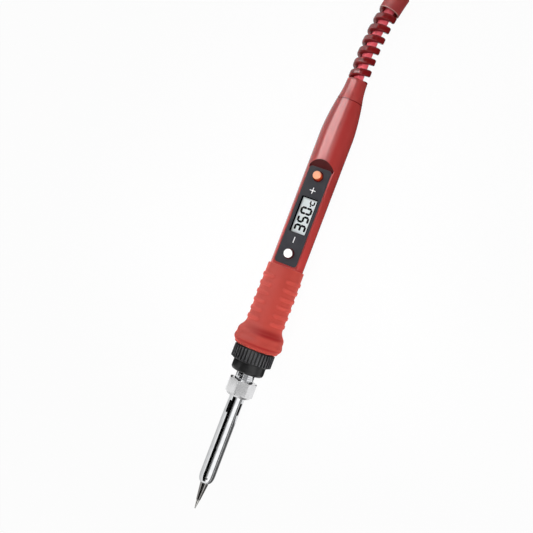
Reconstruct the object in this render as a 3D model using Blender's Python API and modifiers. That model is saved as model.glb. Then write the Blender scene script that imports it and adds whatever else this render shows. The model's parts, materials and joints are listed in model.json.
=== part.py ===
"""A mains soldering iron with a digital temperature control in its handle, lying on a bench.

Lengths are in metres. Each piece of the iron is modelled in the iron's own frame, where Z runs along the
axis from the point of the tip to the cable, Y is the way the control panel faces and X points to the left
of someone who looks down at the panel with the tip nearest. One empty lays that frame on the bench, so
that the iron rests on the flare of its grip and on the back of its handle. The mains lead is modelled in
world space, on the bench. "Station" below means a distance along the axis from the point of the tip.
"""

import math

import bmesh
import bpy
import numpy as np
from mathutils import Matrix, Vector

GAP = 0.0003  # air between pieces that touch
PAST = 0.001  # how far a cutter runs past what it cuts
ROUND = 40  # sides of a large turned piece
MEDIUM_ROUND = 32  # sides of the sleeve and of the nut's bore
BOOT_ROUND = 28  # sides of the cable entry
SMALL_ROUND = 24  # sides of a small turned piece
LEAST_ROUND = 16  # sides of a pin, a plunger or a can

# Tip and barrel
TIP_POINT = 0.0003
TIP_POINT_RADIUS = 0.0004
TIP_TINNED_END = 0.0047
TIP_TINNED_STEP = 0.0001
TIP_TINNED_RADIUS = 0.00095
TIP_CONE_RADIUS = 0.0011
TIP_NECK = 0.0153
TIP_NECK_RADIUS = 0.00238
TIP_SHANK = 0.0169
TIP_SHANK_RADIUS = 0.0032
TIP_END = 0.0430
TIP_BORE_RADIUS = 0.00225
TIP_BORE_END = 0.0205
SLEEVE_FRONT = 0.0140
SLEEVE_NOSE_END = 0.0186
SLEEVE_END = 0.0629
SLEEVE_RADIUS = 0.00405
SLEEVE_BORE_RADIUS = 0.0036
SLEEVE_MOUTH_RADIUS = 0.00265
SLEEVE_NOSE_MIDDLE = 0.0023  # radius about which the wall of the nose curves in
SLEEVE_LIP = 0.0002
SLEEVE_LIP_END = 0.0148
SLEEVE_BORE_FRONT = 0.0170
SLEEVE_FLANGE = 0.0616
SLEEVE_FLANGE_RADIUS = 0.00495
VENT_MIDDLE = 0.0545
VENT_LENGTH = 0.0065
VENT_WIDTH = 0.0014
VENT_ANGLES = (math.radians(67), math.radians(-23))
HEATER_FRONT = 0.0212
HEATER_END = 0.0870
HEATER_RADIUS = 0.00195
HEATER_CHAMFER = 0.0006

# Nut, neck and collar
NUT_FRONT = 0.06025
NUT_END = 0.06875
NUT_SIDES = 8
NUT_ACROSS_FLATS = 0.0138
NUT_FRONT_CHAMFER = 0.0022
NUT_FRONT_DROP = 0.0016
NUT_END_CHAMFER = 0.0009
NUT_END_DROP = 0.0006
NUT_LIP = 0.0013
NUT_LIP_RADIUS = 0.0044
NUT_SEAT_RADIUS = 0.0053
NUT_SEAT_END = 0.0633
NUT_BORE_RADIUS = 0.0050
NUT_TURN = math.radians(18.8)  # one flat looks to the side that the panel is seen from
NECK_FRONT = 0.0634
NECK_FLANGE = 0.0746
NECK_END = 0.0766
NECK_RADIUS = 0.0047
NECK_ROOT_RADIUS = 0.0043
NECK_FLANGE_RADIUS = 0.0070
NECK_BORE_RADIUS = 0.0024
NECK_PITCH = 0.0010
NECK_CREST = (0.35, 0.65)  # share of a pitch at which a thread's crest starts and ends
COLLAR_FRONT = 0.0726
COLLAR_SHOULDER = 0.0780
COLLAR_END = 0.0853
COLLAR_FACE_RADIUS = 0.0069
COLLAR_SMALL_RADIUS = 0.0084
COLLAR_EDGE = 0.0003
COLLAR_ROUND = 0.0019
COLLAR_HOLE_RADIUS = 0.00505
COLLAR_SEAT = 0.0742
COLLAR_SEAT_RADIUS = 0.00735
COLLAR_BORE = 0.0796
COLLAR_BORE_RADIUS = 0.0085
KNURL_RADIUS = 0.01055
KNURL_ROOT_RADIUS = 0.0100
KNURL_RIDGES = 36
KNURL_LEAD = 0.0016
KNURL_CHAMFER = 0.0009
KNURL_END_GAP = 0.0004
KNURL_FOOT = 0.715  # share of the pitch that a ridge is wide at its foot
KNURL_CREST = 0.385  # and at its crest
KNURL_OVERLAP = 0.0006

# Handle and grip
NOSE_FRONT = 0.0799
NOSE_RADIUS = 0.0082
NOSE_BORE_RADIUS = 0.0069
HANDLE_SHOULDER = 0.0860
NOSE_BORE_END = 0.0880
HANDLE_BORE_FRONT = 0.0885
HANDLE_RADIUS = 0.00858
HANDLE_BORE_RADIUS = 0.0072
HANDLE_TAPER = 0.1990
HANDLE_END = 0.2170
HANDLE_END_RADIUS = 0.00665
HANDLE_TAPER_POWER = 1.6
HANDLE_BORE_TAPER = 0.2050
HANDLE_POCKET = 0.2130
HANDLE_POCKET_RADIUS = 0.0059
HANDLE_DOOR = 0.2152
HANDLE_DOOR_RADIUS = 0.00485
GRIP_FRONT = 0.0856
GRIP_END = 0.1288
GRIP_BORE_RADIUS = 0.00886
GRIP_BORE_STOCK = 0.0004
GRIP_RADIUS = 0.0094
GRIP_END_DROP = 0.0003
GRIP_END_ROUND = 0.0007
GRIP_WAIST = 0.0972
FLARE = 0.0889
FLARE_RADIUS = 0.0126
# The flare's side from its waist to its front face: radius, and station after the rim
FLARE_SIDE = (
    (0.00955, 0.0083),
    (0.01010, 0.0073),
    (0.01150, 0.0054),
    (0.01200, 0.0043),
    (0.01210, 0.0021),
    (0.01245, 0.0009),
    (FLARE_RADIUS, 0),
    (0.01240, -0.0009),
    (0.01170, -0.0018),
    (0.01100, -0.0028),
)
FLARE_FACE_RADIUS = 0.0108
RIB_COUNT = 6
RIB_FIRST = 0.1003
RIB_PITCH = 0.00443
RIB_RADIUS = 0.0012
RIB_PROUD = 0.0005
RIB_POINTS = 10
RIB_END_SHARE = 0.62  # how thick the end of a rib is beside its middle
RIB_BANKS = ((math.radians(-146), math.radians(-8)), (math.radians(24), math.radians(162)))
HEATER_BASE_FRONT = 0.0770
HEATER_BASE_RADIUS = 0.0066
HEATER_BASE_BORE = 0.0023

# Control panel, display and buttons
FLAT_HEIGHT = 0.00555
PANEL_HEIGHT = 0.00618
PANEL_THICKNESS = 0.0004
PANEL_FRONT = 0.1300
PANEL_END = 0.1807
PANEL_HALF_WIDTH = 0.00585
PANEL_CORNER = 0.0016
RECESS_FRONT = 0.1293
RECESS_FOOT = 0.18095
RECESS_SLOPE = math.radians(39)
BULKHEAD_RADIUS = 0.0077
BULKHEAD_UNDERSIDE = 0.0048
FRONT_BULKHEAD = (0.1262, 0.1304)
REAR_BULKHEAD = (0.1800, 0.1866)
DOOR_HALF_WIDTH = 0.0052
DOOR_MARGIN = 0.0012
BOSS_HALF_WIDTH = 0.0049
BOSS_MARGIN = 0.0017
BOSS_UNDERSIDE = 0.00465
WINDOW_FRONT = 0.1465
WINDOW_END = 0.1652
WINDOW_HALF_WIDTH = 0.00415
WINDOW_CORNER = 0.0005
GLASS_MARGIN = 0.0020
GLASS_HALF_WIDTH = 0.0047
GLASS_TOP = 0.00435
GLASS_UNDERSIDE = 0.00285
PLUS_STATION = 0.17625
MINUS_STATION = 0.13565
BUTTON_HOLE_RADIUS = 0.00275
BUTTON_FLANGE_TOP = 0.00435
BUTTON_FLANGE_UNDERSIDE = 0.00365
BUTTON_FLANGE_RADIUS = 0.0033
PLUS_STAND = 0.0036
MINUS_STAND = 0.0021
PLUS_RADIUS = 0.00208
MINUS_RADIUS = 0.0022
BUTTON_EDGE = 0.0003
PLUNGER_RADIUS = 0.0015
PLUNGER_TOP = 0.00335
PLUNGER_UNDERSIDE = 0.0020
SWITCH_SIDE = 0.0060
SWITCH_TOP = 0.0030
SWITCH_WELL_RADIUS = 0.0018
SWITCH_WELL_FLOOR = 0.0012

# Circuit board and what is on it
BOARD_FRONT = 0.1310
BOARD_END = 0.1970
BOARD_HALF_WIDTH = 0.0062
BOARD_TOP = 0.0003
BOARD_UNDERSIDE = -0.0009
CONTACT_STRIP_WIDTH = 0.0012
CONTACT_STRIP_ACROSS = 0.0038
LEAD_RADIUS = 0.0004
LEAD_ACROSS_TOP = 0.0046
LEAD_ACROSS_UNDER = 0.0022
LEAD_LAP = 0.0018
LEAD_SPREAD = 0.0009
LEAD_STRAIGHT = 0.0060
LEAD_SETTLED = 0.0080
LEAD_SPACING = 0.0050
CAN_RADIUS = 0.0025
CAN_LENGTH = 0.0110
CAN_MIDDLE = 0.1535
MAINS_LEAD_RADIUS = 0.0006
MAINS_LEAD_ACROSS = 0.0030
MAINS_LEAD_SPREAD = 0.0011
MAINS_LEAD_STRAIGHT = 0.0030
MAINS_LEAD_BEND = 0.0010
MAINS_LEAD_LAP = 0.0040
MAINS_LEAD_SPACING = 0.0025

# Cable entry and mains lead
CORD_RADIUS = 0.0025
CORD_START = 0.2070
CORD_BORE_RADIUS = 0.00286
CLAMP_FRONT = 0.2082
CLAMP_END = 0.2126
CLAMP_RADIUS = 0.0044
BOOT_FLANGE = 0.2134
BOOT_FLANGE_END = 0.2149
BOOT_FLANGE_RADIUS = 0.0056
BOOT_NECK_RADIUS = 0.00455
BOOT_FRONT = 0.2173
BOOT_END = 0.2287
BOOT_FRONT_RADIUS = 0.0066
SPIRAL_CORNER = 0.0006
SPIRAL_RADIUS = 0.0052
SPIRAL_INNER_RADIUS = 0.0031
SPIRAL_PITCH = 0.0060
SPIRAL_THICKNESS = 0.0034
SPIRAL_FRONT = 0.2325  # station at which the rib crosses the side that the panel is seen from
SPIRAL_TURN = math.radians(14.8)
SPIRAL_STEPS = 10
SPIRAL_START_TURNS = -1.0
SPIRAL_END_TURNS = 5.9
FERRULE_FRONT = 0.2665
FERRULE_END = 0.2770
FERRULE_RADIUS = 0.0054
FERRULE_EDGE = 0.0004
FERRULE_END_ROUND = 0.0008
FERRULE_CUP_RADIUS = 0.0046
FERRULE_CUP = 0.0050
FERRULE_RINGS = 4
BEND_START = 0.2400
BEND_RADIUS = 0.1350

# Mains lead on the bench, in world space
LAYER_STEP = 0.0057
HANK_NEAR = 0.1870
HANK_RUN = 0.0950
HANK_FOLD_RADIUS = 0.0155
HANK_STEP = 0.0057
HANK_WAIST = 0.0036
HANK_WAIST_STEP = 0.0074
HANK_WAIST_LIFT = 0.0012
HANK_LOOPS = 3
HANK_LOOP_POINTS = 24
HANK_LAST_RUN = 0.25
HANK_TEST_POINTS = 800
CORD_ON_BENCH = CORD_RADIUS + 0.00005
CORD_PAST_FERRULE = 0.0020
TIE_WIDTH = 0.0080
TIE_THICKNESS = 0.0007
TIE_CORNER = 0.0030
PLUG_REAR = 0.3340
PLUG_ACROSS = -0.0045
PLUG_HEIGHT = 0.0072
PLUG_RELIEF = 0.0140
PLUG_BODY = 0.0350
PLUG_WIDTH = 0.0353
PLUG_REAR_WIDTH = 0.0150
PLUG_THICKNESS = 0.0137
PLUG_SHOULDER = 0.0096
PLUG_CORNER = 0.0030
PLUG_EDGE = 0.0020
PLUG_RELIEF_OVERLAP = 0.0040
PLUG_RELIEF_EDGE = 0.0005
PLUG_RELIEF_RADIUS = 0.0052
PLUG_RELIEF_TIP_RADIUS = 0.0036
PIN_RADIUS = 0.0020
PIN_LENGTH = 0.0190
PIN_SEAT = 0.0080
PIN_SPACING = 0.0186
PIN_TAPER = 0.0016
PIN_TIP_RADIUS = 0.0008

# How the iron lies: one straight line touches the flare and the start of the handle's taper.
TILT = math.atan((FLARE_RADIUS - HANDLE_RADIUS) / (HANDLE_TAPER - FLARE))
TIP_HEIGHT = FLARE * math.sin(TILT) + FLARE_RADIUS * math.cos(TILT)
BEND_ANGLE = (FERRULE_END - BEND_START) / BEND_RADIUS
REACH = BEND_START + BEND_RADIUS * math.sin(BEND_ANGLE) + FERRULE_RADIUS * math.sin(BEND_ANGLE)
TIP_PLACE = Vector((-REACH * math.cos(TILT) / 2, 0, TIP_HEIGHT))

# The plane of an outline, laid on the panel or stood up along the axis, in the iron's frame
ON_PANEL = Matrix(((1, 0, 0), (0, 0, -1), (0, 1, 0))).to_4x4()
ON_SIDE = Matrix(((0, 0, -1), (0, 1, 0), (1, 0, 0))).to_4x4()


def clear_scene():
    for obj in list(bpy.data.objects):
        bpy.data.objects.remove(obj)


def new_collection(name):
    collection = bpy.data.collections.new(name)
    bpy.context.scene.collection.children.link(collection)
    return collection


def new_material(name, colour, roughness, metallic=0.0):
    material = bpy.data.materials.new(name)
    material.use_nodes = True
    shader = material.node_tree.nodes["Principled BSDF"]
    shader.inputs["Base Color"].default_value = (*colour, 1)
    shader.inputs["Roughness"].default_value = roughness
    shader.inputs["Metallic"].default_value = metallic
    return material


clear_scene()
PARTS = new_collection("soldering_iron")
CUTTERS = new_collection("cutters")

IRON = bpy.data.objects.new("iron_frame", None)
IRON.matrix_world = Matrix.Translation(TIP_PLACE) @ Matrix(
    (
        (0, math.sin(TILT), math.cos(TILT)),
        (1, 0, 0),
        (0, math.cos(TILT), -math.sin(TILT)),
    )
).to_4x4()
PARTS.objects.link(IRON)

CHROME = new_material("chromed_steel", (0.78, 0.78, 0.80), 0.12, 1.0)
TIN = new_material("tinned_point", (0.82, 0.82, 0.82), 0.3, 1.0)
CERAMIC = new_material("alumina_ceramic", (0.86, 0.85, 0.80), 0.5)
BLACK_NYLON = new_material("black_glass_nylon", (0.022, 0.022, 0.024), 0.45)
RED_ABS = new_material("red_gloss_abs", (0.36, 0.038, 0.036), 0.18)
RED_SILICONE = new_material("red_silicone", (0.45, 0.075, 0.065), 0.5)
RED_PVC = new_material("red_pvc", (0.40, 0.04, 0.04), 0.4)
GREY_PLATE = new_material("dark_grey_plate", (0.052, 0.052, 0.058), 0.4)
LCD = new_material("lcd_glass", (0.60, 0.66, 0.67), 0.15)
ORANGE = new_material("orange_button", (0.90, 0.22, 0.08), 0.4)
WHITE = new_material("white_button", (0.88, 0.88, 0.86), 0.4)
BOARD_GREEN = new_material("circuit_board", (0.02, 0.14, 0.06), 0.5)
BLACK_EPOXY = new_material("black_epoxy", (0.02, 0.02, 0.02), 0.5)
YELLOW_FILM = new_material("yellow_film_case", (0.75, 0.50, 0.05), 0.45)
BLUE_SLEEVE = new_material("blue_capacitor_sleeve", (0.03, 0.08, 0.35), 0.4)
GLASS_FIBRE = new_material("white_lead_sleeve", (0.8, 0.78, 0.72), 0.6)
BROWN_PVC = new_material("brown_lead", (0.16, 0.06, 0.02), 0.4)
BLUE_PVC = new_material("blue_lead", (0.03, 0.12, 0.5), 0.4)
BRASS = new_material("nickelled_brass", (0.72, 0.68, 0.60), 0.25, 1.0)


def put(obj, parent, place, material):
    """Puts an object in the assembly, under a parent and at a place in that parent's frame."""
    PARTS.objects.link(obj)
    obj.parent = parent
    obj.matrix_local = place
    if material:
        obj.data.materials.append(material)
    return obj


def as_cutter(obj, place):
    """A cutter isn't a piece: it is left out of a render, and stands in the iron's frame."""
    CUTTERS.objects.link(obj)
    obj.hide_render = True
    obj.display_type = "WIRE"
    obj.parent = IRON
    obj.matrix_local = place
    return obj


def evaluated_mesh(obj):
    bpy.context.view_layer.update()
    graph = bpy.context.evaluated_depsgraph_get()
    return bpy.data.meshes.new_from_object(obj.evaluated_get(graph))


def turned_object(name, profile, sides, closed):
    """A profile of (radius, station), running down its outer side from the cable end, turned about Z."""
    mesh = bpy.data.meshes.new(name)
    shape = bmesh.new()
    points = [shape.verts.new((radius, 0, station)) for radius, station in profile]
    for first, second in zip(points, points[1:]):
        shape.edges.new((first, second))
    if closed:
        shape.edges.new((points[-1], points[0]))
    shape.to_mesh(mesh)
    shape.free()
    obj = bpy.data.objects.new(name, mesh)
    screw = obj.modifiers.new("turn", "SCREW")
    screw.axis = "Z"
    screw.steps = sides
    screw.render_steps = sides
    screw.use_merge_vertices = True
    screw.merge_threshold = 0.00001
    screw.use_smooth_shade = True
    return obj


def turned(name, profile, material, sides=ROUND, closed=True):
    return put(turned_object(name, profile, sides, closed), IRON, Matrix(), material)


def box_mesh(name, size):
    mesh = bpy.data.meshes.new(name)
    shape = bmesh.new()
    bmesh.ops.create_cube(shape, size=1)
    bmesh.ops.scale(shape, vec=size, verts=shape.verts)
    shape.to_mesh(mesh)
    shape.free()
    return mesh


def box(name, low, high, material):
    """A box between two corners, given in the iron's frame."""
    low, high = Vector(low), Vector(high)
    obj = bpy.data.objects.new(name, box_mesh(name, high - low))
    return put(obj, IRON, Matrix.Translation((low + high) / 2), material)


def cylinder_mesh(name, radius, length, sides):
    mesh = bpy.data.meshes.new(name)
    shape = bmesh.new()
    bmesh.ops.create_cone(
        shape, cap_ends=True, segments=sides, radius1=radius, radius2=radius, depth=length
    )
    shape.to_mesh(mesh)
    shape.free()
    return mesh


def upright(height, station):
    """A place on the panel's middle line, with Z along the way the panel faces."""
    return Matrix.Translation((0, height, station)) @ Matrix.Rotation(math.radians(-90), 4, "X")


def outline_mesh(name, points, thickness):
    """A flat closed outline with a thickness, as a mesh."""
    curve = bpy.data.curves.new(name, "CURVE")
    curve.dimensions = "2D"
    curve.fill_mode = "BOTH"
    curve.extrude = thickness / 2
    spline = curve.splines.new("POLY")
    spline.points.add(len(points) - 1)
    for spot, (across, along) in zip(spline.points, points):
        spot.co = (across, along, 0, 1)
    spline.use_cyclic_u = True
    guide = bpy.data.objects.new(name, curve)
    CUTTERS.objects.link(guide)
    mesh = evaluated_mesh(guide)
    bpy.data.objects.remove(guide)
    welded(mesh)
    return mesh


def welded(mesh):
    shape = bmesh.new()
    shape.from_mesh(mesh)
    bmesh.ops.remove_doubles(shape, verts=shape.verts, dist=0.000001)
    bmesh.ops.recalc_face_normals(shape, faces=shape.faces)
    shape.to_mesh(mesh)
    shape.free()


def corner_arc(centre, radius, start, end, count):
    angles = np.radians(np.linspace(start, end, count))
    return [(centre[0] + radius * math.cos(a), centre[1] + radius * math.sin(a)) for a in angles]


def rounded_rectangle(low, high, radius, count=5):
    (left, front), (right, back) = low, high
    return (
        corner_arc((right - radius, front + radius), radius, -90, 0, count)
        + corner_arc((right - radius, back - radius), radius, 0, 90, count)
        + corner_arc((left + radius, back - radius), radius, 90, 180, count)
        + corner_arc((left + radius, front + radius), radius, 180, 270, count)
    )


def boolean(obj, other, operation):
    modifier = obj.modifiers.new(other.name, "BOOLEAN")
    modifier.operation = operation
    modifier.solver = "EXACT"
    modifier.object = other
    return obj


def cut(obj, cutter):
    return boolean(obj, cutter, "DIFFERENCE")


def plate_cutter(name, points, middle_height, thickness):
    """A cutter through the panel: an outline of (across, station), at a height above the axis."""
    mesh = outline_mesh(name, points, thickness)
    return as_cutter(
        bpy.data.objects.new(name, mesh), Matrix.Translation((0, middle_height, 0)) @ ON_PANEL
    )


def tube(name, points, radius, material, parent=None, resolution=2):
    """A round tube along the given points, with filled ends."""
    curve = bpy.data.curves.new(name, "CURVE")
    curve.dimensions = "3D"
    curve.bevel_depth = radius
    curve.bevel_resolution = resolution
    curve.use_fill_caps = True
    spline = curve.splines.new("POLY")
    spline.points.add(len(points) - 1)
    for spot, place in zip(spline.points, points):
        spot.co = (*place, 1)
    return put(bpy.data.objects.new(name, curve), parent, Matrix(), material)


def smooth_route(points, spacing):
    """Points about a spacing apart on a smooth curve through the given points."""
    knots = np.array(points, float)
    steps = np.linalg.norm(np.diff(knots, axis=0), axis=1)
    at = np.concatenate([[0], np.cumsum(steps)])
    slopes = np.gradient(knots, at, axis=0)
    wanted = np.linspace(0, at[-1], max(2, round(at[-1] / spacing) + 1))
    found = []
    for distance in wanted:
        i = min(int(np.searchsorted(at, distance, side="right")) - 1, len(steps) - 1)
        t = (distance - at[i]) / steps[i]
        start_weight = 2 * t**3 - 3 * t**2 + 1
        found.append(
            start_weight * knots[i]
            + (1 - start_weight) * knots[i + 1]
            + steps[i] * (t**3 - 2 * t**2 + t) * slopes[i]
            + steps[i] * (t**3 - t**2) * slopes[i + 1]
        )
    return found


def bent(point):
    """Where the bend of the cable entry takes a point of the straight iron frame."""
    past = point[2] - BEND_START
    if past <= 0:
        return Vector(point)
    angle = past / BEND_RADIUS
    middle = Vector((BEND_RADIUS * (math.cos(angle) - 1), 0, BEND_START + BEND_RADIUS * math.sin(angle)))
    return middle + point[0] * Vector((math.cos(angle), 0, math.sin(angle))) + point[1] * Vector((0, 1, 0))


def make_barrel():
    """The tip in its slotted sleeve, and the ceramic heater that the tip fits over."""
    turned(
        "solder_tip",
        [
            (0, TIP_BORE_END),
            (TIP_BORE_RADIUS, TIP_BORE_END + TIP_BORE_RADIUS / 2),
            (TIP_BORE_RADIUS, TIP_END),
            (TIP_SHANK_RADIUS, TIP_END),
            (TIP_SHANK_RADIUS, TIP_SHANK),
            (TIP_NECK_RADIUS, TIP_NECK),
            (TIP_CONE_RADIUS, TIP_TINNED_END + TIP_TINNED_STEP),
            (TIP_TINNED_RADIUS, TIP_TINNED_END),
            (TIP_POINT_RADIUS, TIP_POINT),
            (TIP_POINT_RADIUS / 2, TIP_POINT / 6),
            (0, 0),
        ],
        TIN,
        SMALL_ROUND,
        closed=False,
    )
    nose_depth = SLEEVE_NOSE_END - SLEEVE_FRONT
    nose_wide = SLEEVE_RADIUS - SLEEVE_NOSE_MIDDLE
    nose = [
        (SLEEVE_NOSE_MIDDLE + nose_wide * math.sin(angle), SLEEVE_NOSE_END - nose_depth * math.cos(angle))
        for angle in np.radians((90, 70, 52, 36, 24, 15))
    ]
    sleeve = turned(
        "barrel_sleeve",
        [
            (SLEEVE_FLANGE_RADIUS, SLEEVE_END),
            (SLEEVE_FLANGE_RADIUS, SLEEVE_FLANGE),
            (SLEEVE_RADIUS, SLEEVE_FLANGE),
            *nose,
            (SLEEVE_MOUTH_RADIUS, SLEEVE_FRONT + SLEEVE_LIP),
            (SLEEVE_MOUTH_RADIUS, SLEEVE_LIP_END),
            (SLEEVE_BORE_RADIUS, SLEEVE_BORE_FRONT),
            (SLEEVE_BORE_RADIUS, SLEEVE_END),
        ],
        CHROME,
        MEDIUM_ROUND,
    )
    for number, angle in enumerate(VENT_ANGLES):
        slot = rounded_rectangle(
            (-VENT_WIDTH / 2, -VENT_LENGTH / 2),
            (VENT_WIDTH / 2, VENT_LENGTH / 2),
            VENT_WIDTH / 2 - 0.00001,
            4,
        )
        mesh = outline_mesh(f"vent_cutter_{number}", slot, 4 * SLEEVE_RADIUS)
        place = Matrix.Translation((0, 0, VENT_MIDDLE)) @ Matrix.Rotation(angle, 4, "Z") @ ON_PANEL
        cut(sleeve, as_cutter(bpy.data.objects.new(mesh.name, mesh), place))
    turned(
        "heater_element",
        [
            (0, HEATER_END),
            (HEATER_RADIUS, HEATER_END),
            (HEATER_RADIUS, HEATER_FRONT + HEATER_CHAMFER),
            (HEATER_RADIUS - HEATER_CHAMFER, HEATER_FRONT),
            (0, HEATER_FRONT),
        ],
        CERAMIC,
        SMALL_ROUND,
        closed=False,
    )
    turned(
        "heater_base",
        [
            (HEATER_BASE_RADIUS, HANDLE_SHOULDER),
            (HEATER_BASE_RADIUS, HEATER_BASE_FRONT),
            (HEATER_BASE_BORE, HEATER_BASE_FRONT),
            (HEATER_BASE_BORE, HANDLE_SHOULDER),
        ],
        CERAMIC,
        SMALL_ROUND,
    )


def make_nut():
    """An eight-sided nut: a prism inside a turned envelope that chamfers its ends, with a stepped bore."""
    corner = NUT_ACROSS_FLATS / 2 / math.cos(math.pi / NUT_SIDES)
    length = NUT_END - NUT_FRONT
    mesh = cylinder_mesh("barrel_nut", corner, length, NUT_SIDES)
    flat_up = Matrix.Rotation(NUT_TURN + math.pi / NUT_SIDES, 4, "Z")
    place = Matrix.Translation((0, 0, (NUT_FRONT + NUT_END) / 2)) @ flat_up
    nut = put(bpy.data.objects.new("barrel_nut", mesh), IRON, place, CHROME)
    envelope = turned_object(
        "nut_envelope",
        [
            (0, NUT_END + PAST),
            (corner - NUT_END_DROP - PAST, NUT_END + PAST),
            (corner - NUT_END_DROP, NUT_END),
            (corner + PAST, NUT_END - NUT_END_CHAMFER),
            (corner + PAST, NUT_FRONT + NUT_FRONT_CHAMFER),
            (corner - NUT_FRONT_DROP, NUT_FRONT),
            (corner - NUT_FRONT_DROP - PAST, NUT_FRONT - PAST),
            (0, NUT_FRONT - PAST),
        ],
        ROUND,
        closed=False,
    )
    boolean(nut, as_cutter(envelope, Matrix()), "INTERSECT")
    bore = turned_object(
        "nut_bore",
        [
            (0, NUT_END + PAST),
            (NUT_BORE_RADIUS, NUT_END + PAST),
            (NUT_BORE_RADIUS, NUT_SEAT_END),
            (NUT_SEAT_RADIUS, NUT_SEAT_END),
            (NUT_SEAT_RADIUS, NUT_FRONT + NUT_LIP - GAP),
            (NUT_LIP_RADIUS, NUT_FRONT + NUT_LIP - GAP),
            (NUT_LIP_RADIUS, NUT_FRONT - PAST),
            (0, NUT_FRONT - PAST),
        ],
        MEDIUM_ROUND,
        closed=False,
    )
    cut(nut, as_cutter(bore, Matrix()))


def make_neck_and_collar():
    """The threaded neck, held by its flange in the knurled collar that screws on the handle's nose."""
    crests = []
    station = COLLAR_FRONT
    while station > NECK_FRONT + NECK_PITCH:
        crests += [
            (NECK_ROOT_RADIUS, station),
            (NECK_RADIUS, station - NECK_CREST[0] * NECK_PITCH),
            (NECK_RADIUS, station - NECK_CREST[1] * NECK_PITCH),
        ]
        station -= NECK_PITCH
    turned(
        "threaded_neck",
        [
            (NECK_FLANGE_RADIUS, NECK_END),
            (NECK_FLANGE_RADIUS, NECK_FLANGE),
            (NECK_RADIUS, NECK_FLANGE),
            (NECK_RADIUS, COLLAR_FRONT + GAP),
            *crests,
            (NECK_ROOT_RADIUS, station),
            (NECK_ROOT_RADIUS, NECK_FRONT),
            (NECK_BORE_RADIUS, NECK_FRONT),
            (NECK_BORE_RADIUS, NECK_END),
        ],
        CHROME,
        SMALL_ROUND,
    )
    collar = turned(
        "collar_nut",
        [
            (KNURL_ROOT_RADIUS, COLLAR_END),
            (KNURL_ROOT_RADIUS, COLLAR_SHOULDER + KNURL_LEAD),
            (KNURL_ROOT_RADIUS - KNURL_CHAMFER, COLLAR_SHOULDER),
            (COLLAR_SMALL_RADIUS, COLLAR_SHOULDER),
            (COLLAR_SMALL_RADIUS, COLLAR_FRONT + COLLAR_ROUND),
            (COLLAR_FACE_RADIUS + 2 * COLLAR_EDGE, COLLAR_FRONT + COLLAR_EDGE),
            (COLLAR_FACE_RADIUS, COLLAR_FRONT),
            (COLLAR_HOLE_RADIUS, COLLAR_FRONT),
            (COLLAR_HOLE_RADIUS, COLLAR_SEAT),
            (COLLAR_SEAT_RADIUS, COLLAR_SEAT),
            (COLLAR_SEAT_RADIUS, COLLAR_BORE),
            (COLLAR_BORE_RADIUS, COLLAR_BORE),
            (COLLAR_BORE_RADIUS, COLLAR_END),
        ],
        BLACK_NYLON,
        KNURL_RIDGES,
    )
    pitch = 2 * math.pi / KNURL_RIDGES
    ridged = []
    for ridge in range(KNURL_RIDGES):
        for radius, share in (
            (KNURL_ROOT_RADIUS, -KNURL_FOOT / 2),
            (KNURL_RADIUS, -KNURL_CREST / 2),
            (KNURL_RADIUS, KNURL_CREST / 2),
            (KNURL_ROOT_RADIUS, KNURL_FOOT / 2),
        ):
            angle = (ridge + share) * pitch
            ridged.append((radius * math.cos(angle), radius * math.sin(angle)))
    low = COLLAR_SHOULDER + KNURL_LEAD
    high = COLLAR_END - KNURL_END_GAP
    mesh = outline_mesh("knurl", ridged, high - low)
    bore = KNURL_ROOT_RADIUS - KNURL_OVERLAP
    place = Matrix.Translation((0, 0, (low + high) / 2))
    ridges = as_cutter(bpy.data.objects.new("knurl", mesh), place)
    hole = turned_object(
        "knurl_hole",
        [(0, high + PAST), (bore, high + PAST), (bore, low - PAST), (0, low - PAST)],
        KNURL_RIDGES,
        closed=False,
    )
    cut(ridges, as_cutter(hole, Matrix()))
    boolean(collar, ridges, "UNION")


def handle_taper(station):
    """Radius of the handle's tail, which falls away ever faster from where the taper starts."""
    share = (station - HANDLE_TAPER) / (HANDLE_END - HANDLE_TAPER)
    return HANDLE_RADIUS - (HANDLE_RADIUS - HANDLE_END_RADIUS) * share**HANDLE_TAPER_POWER


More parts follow.
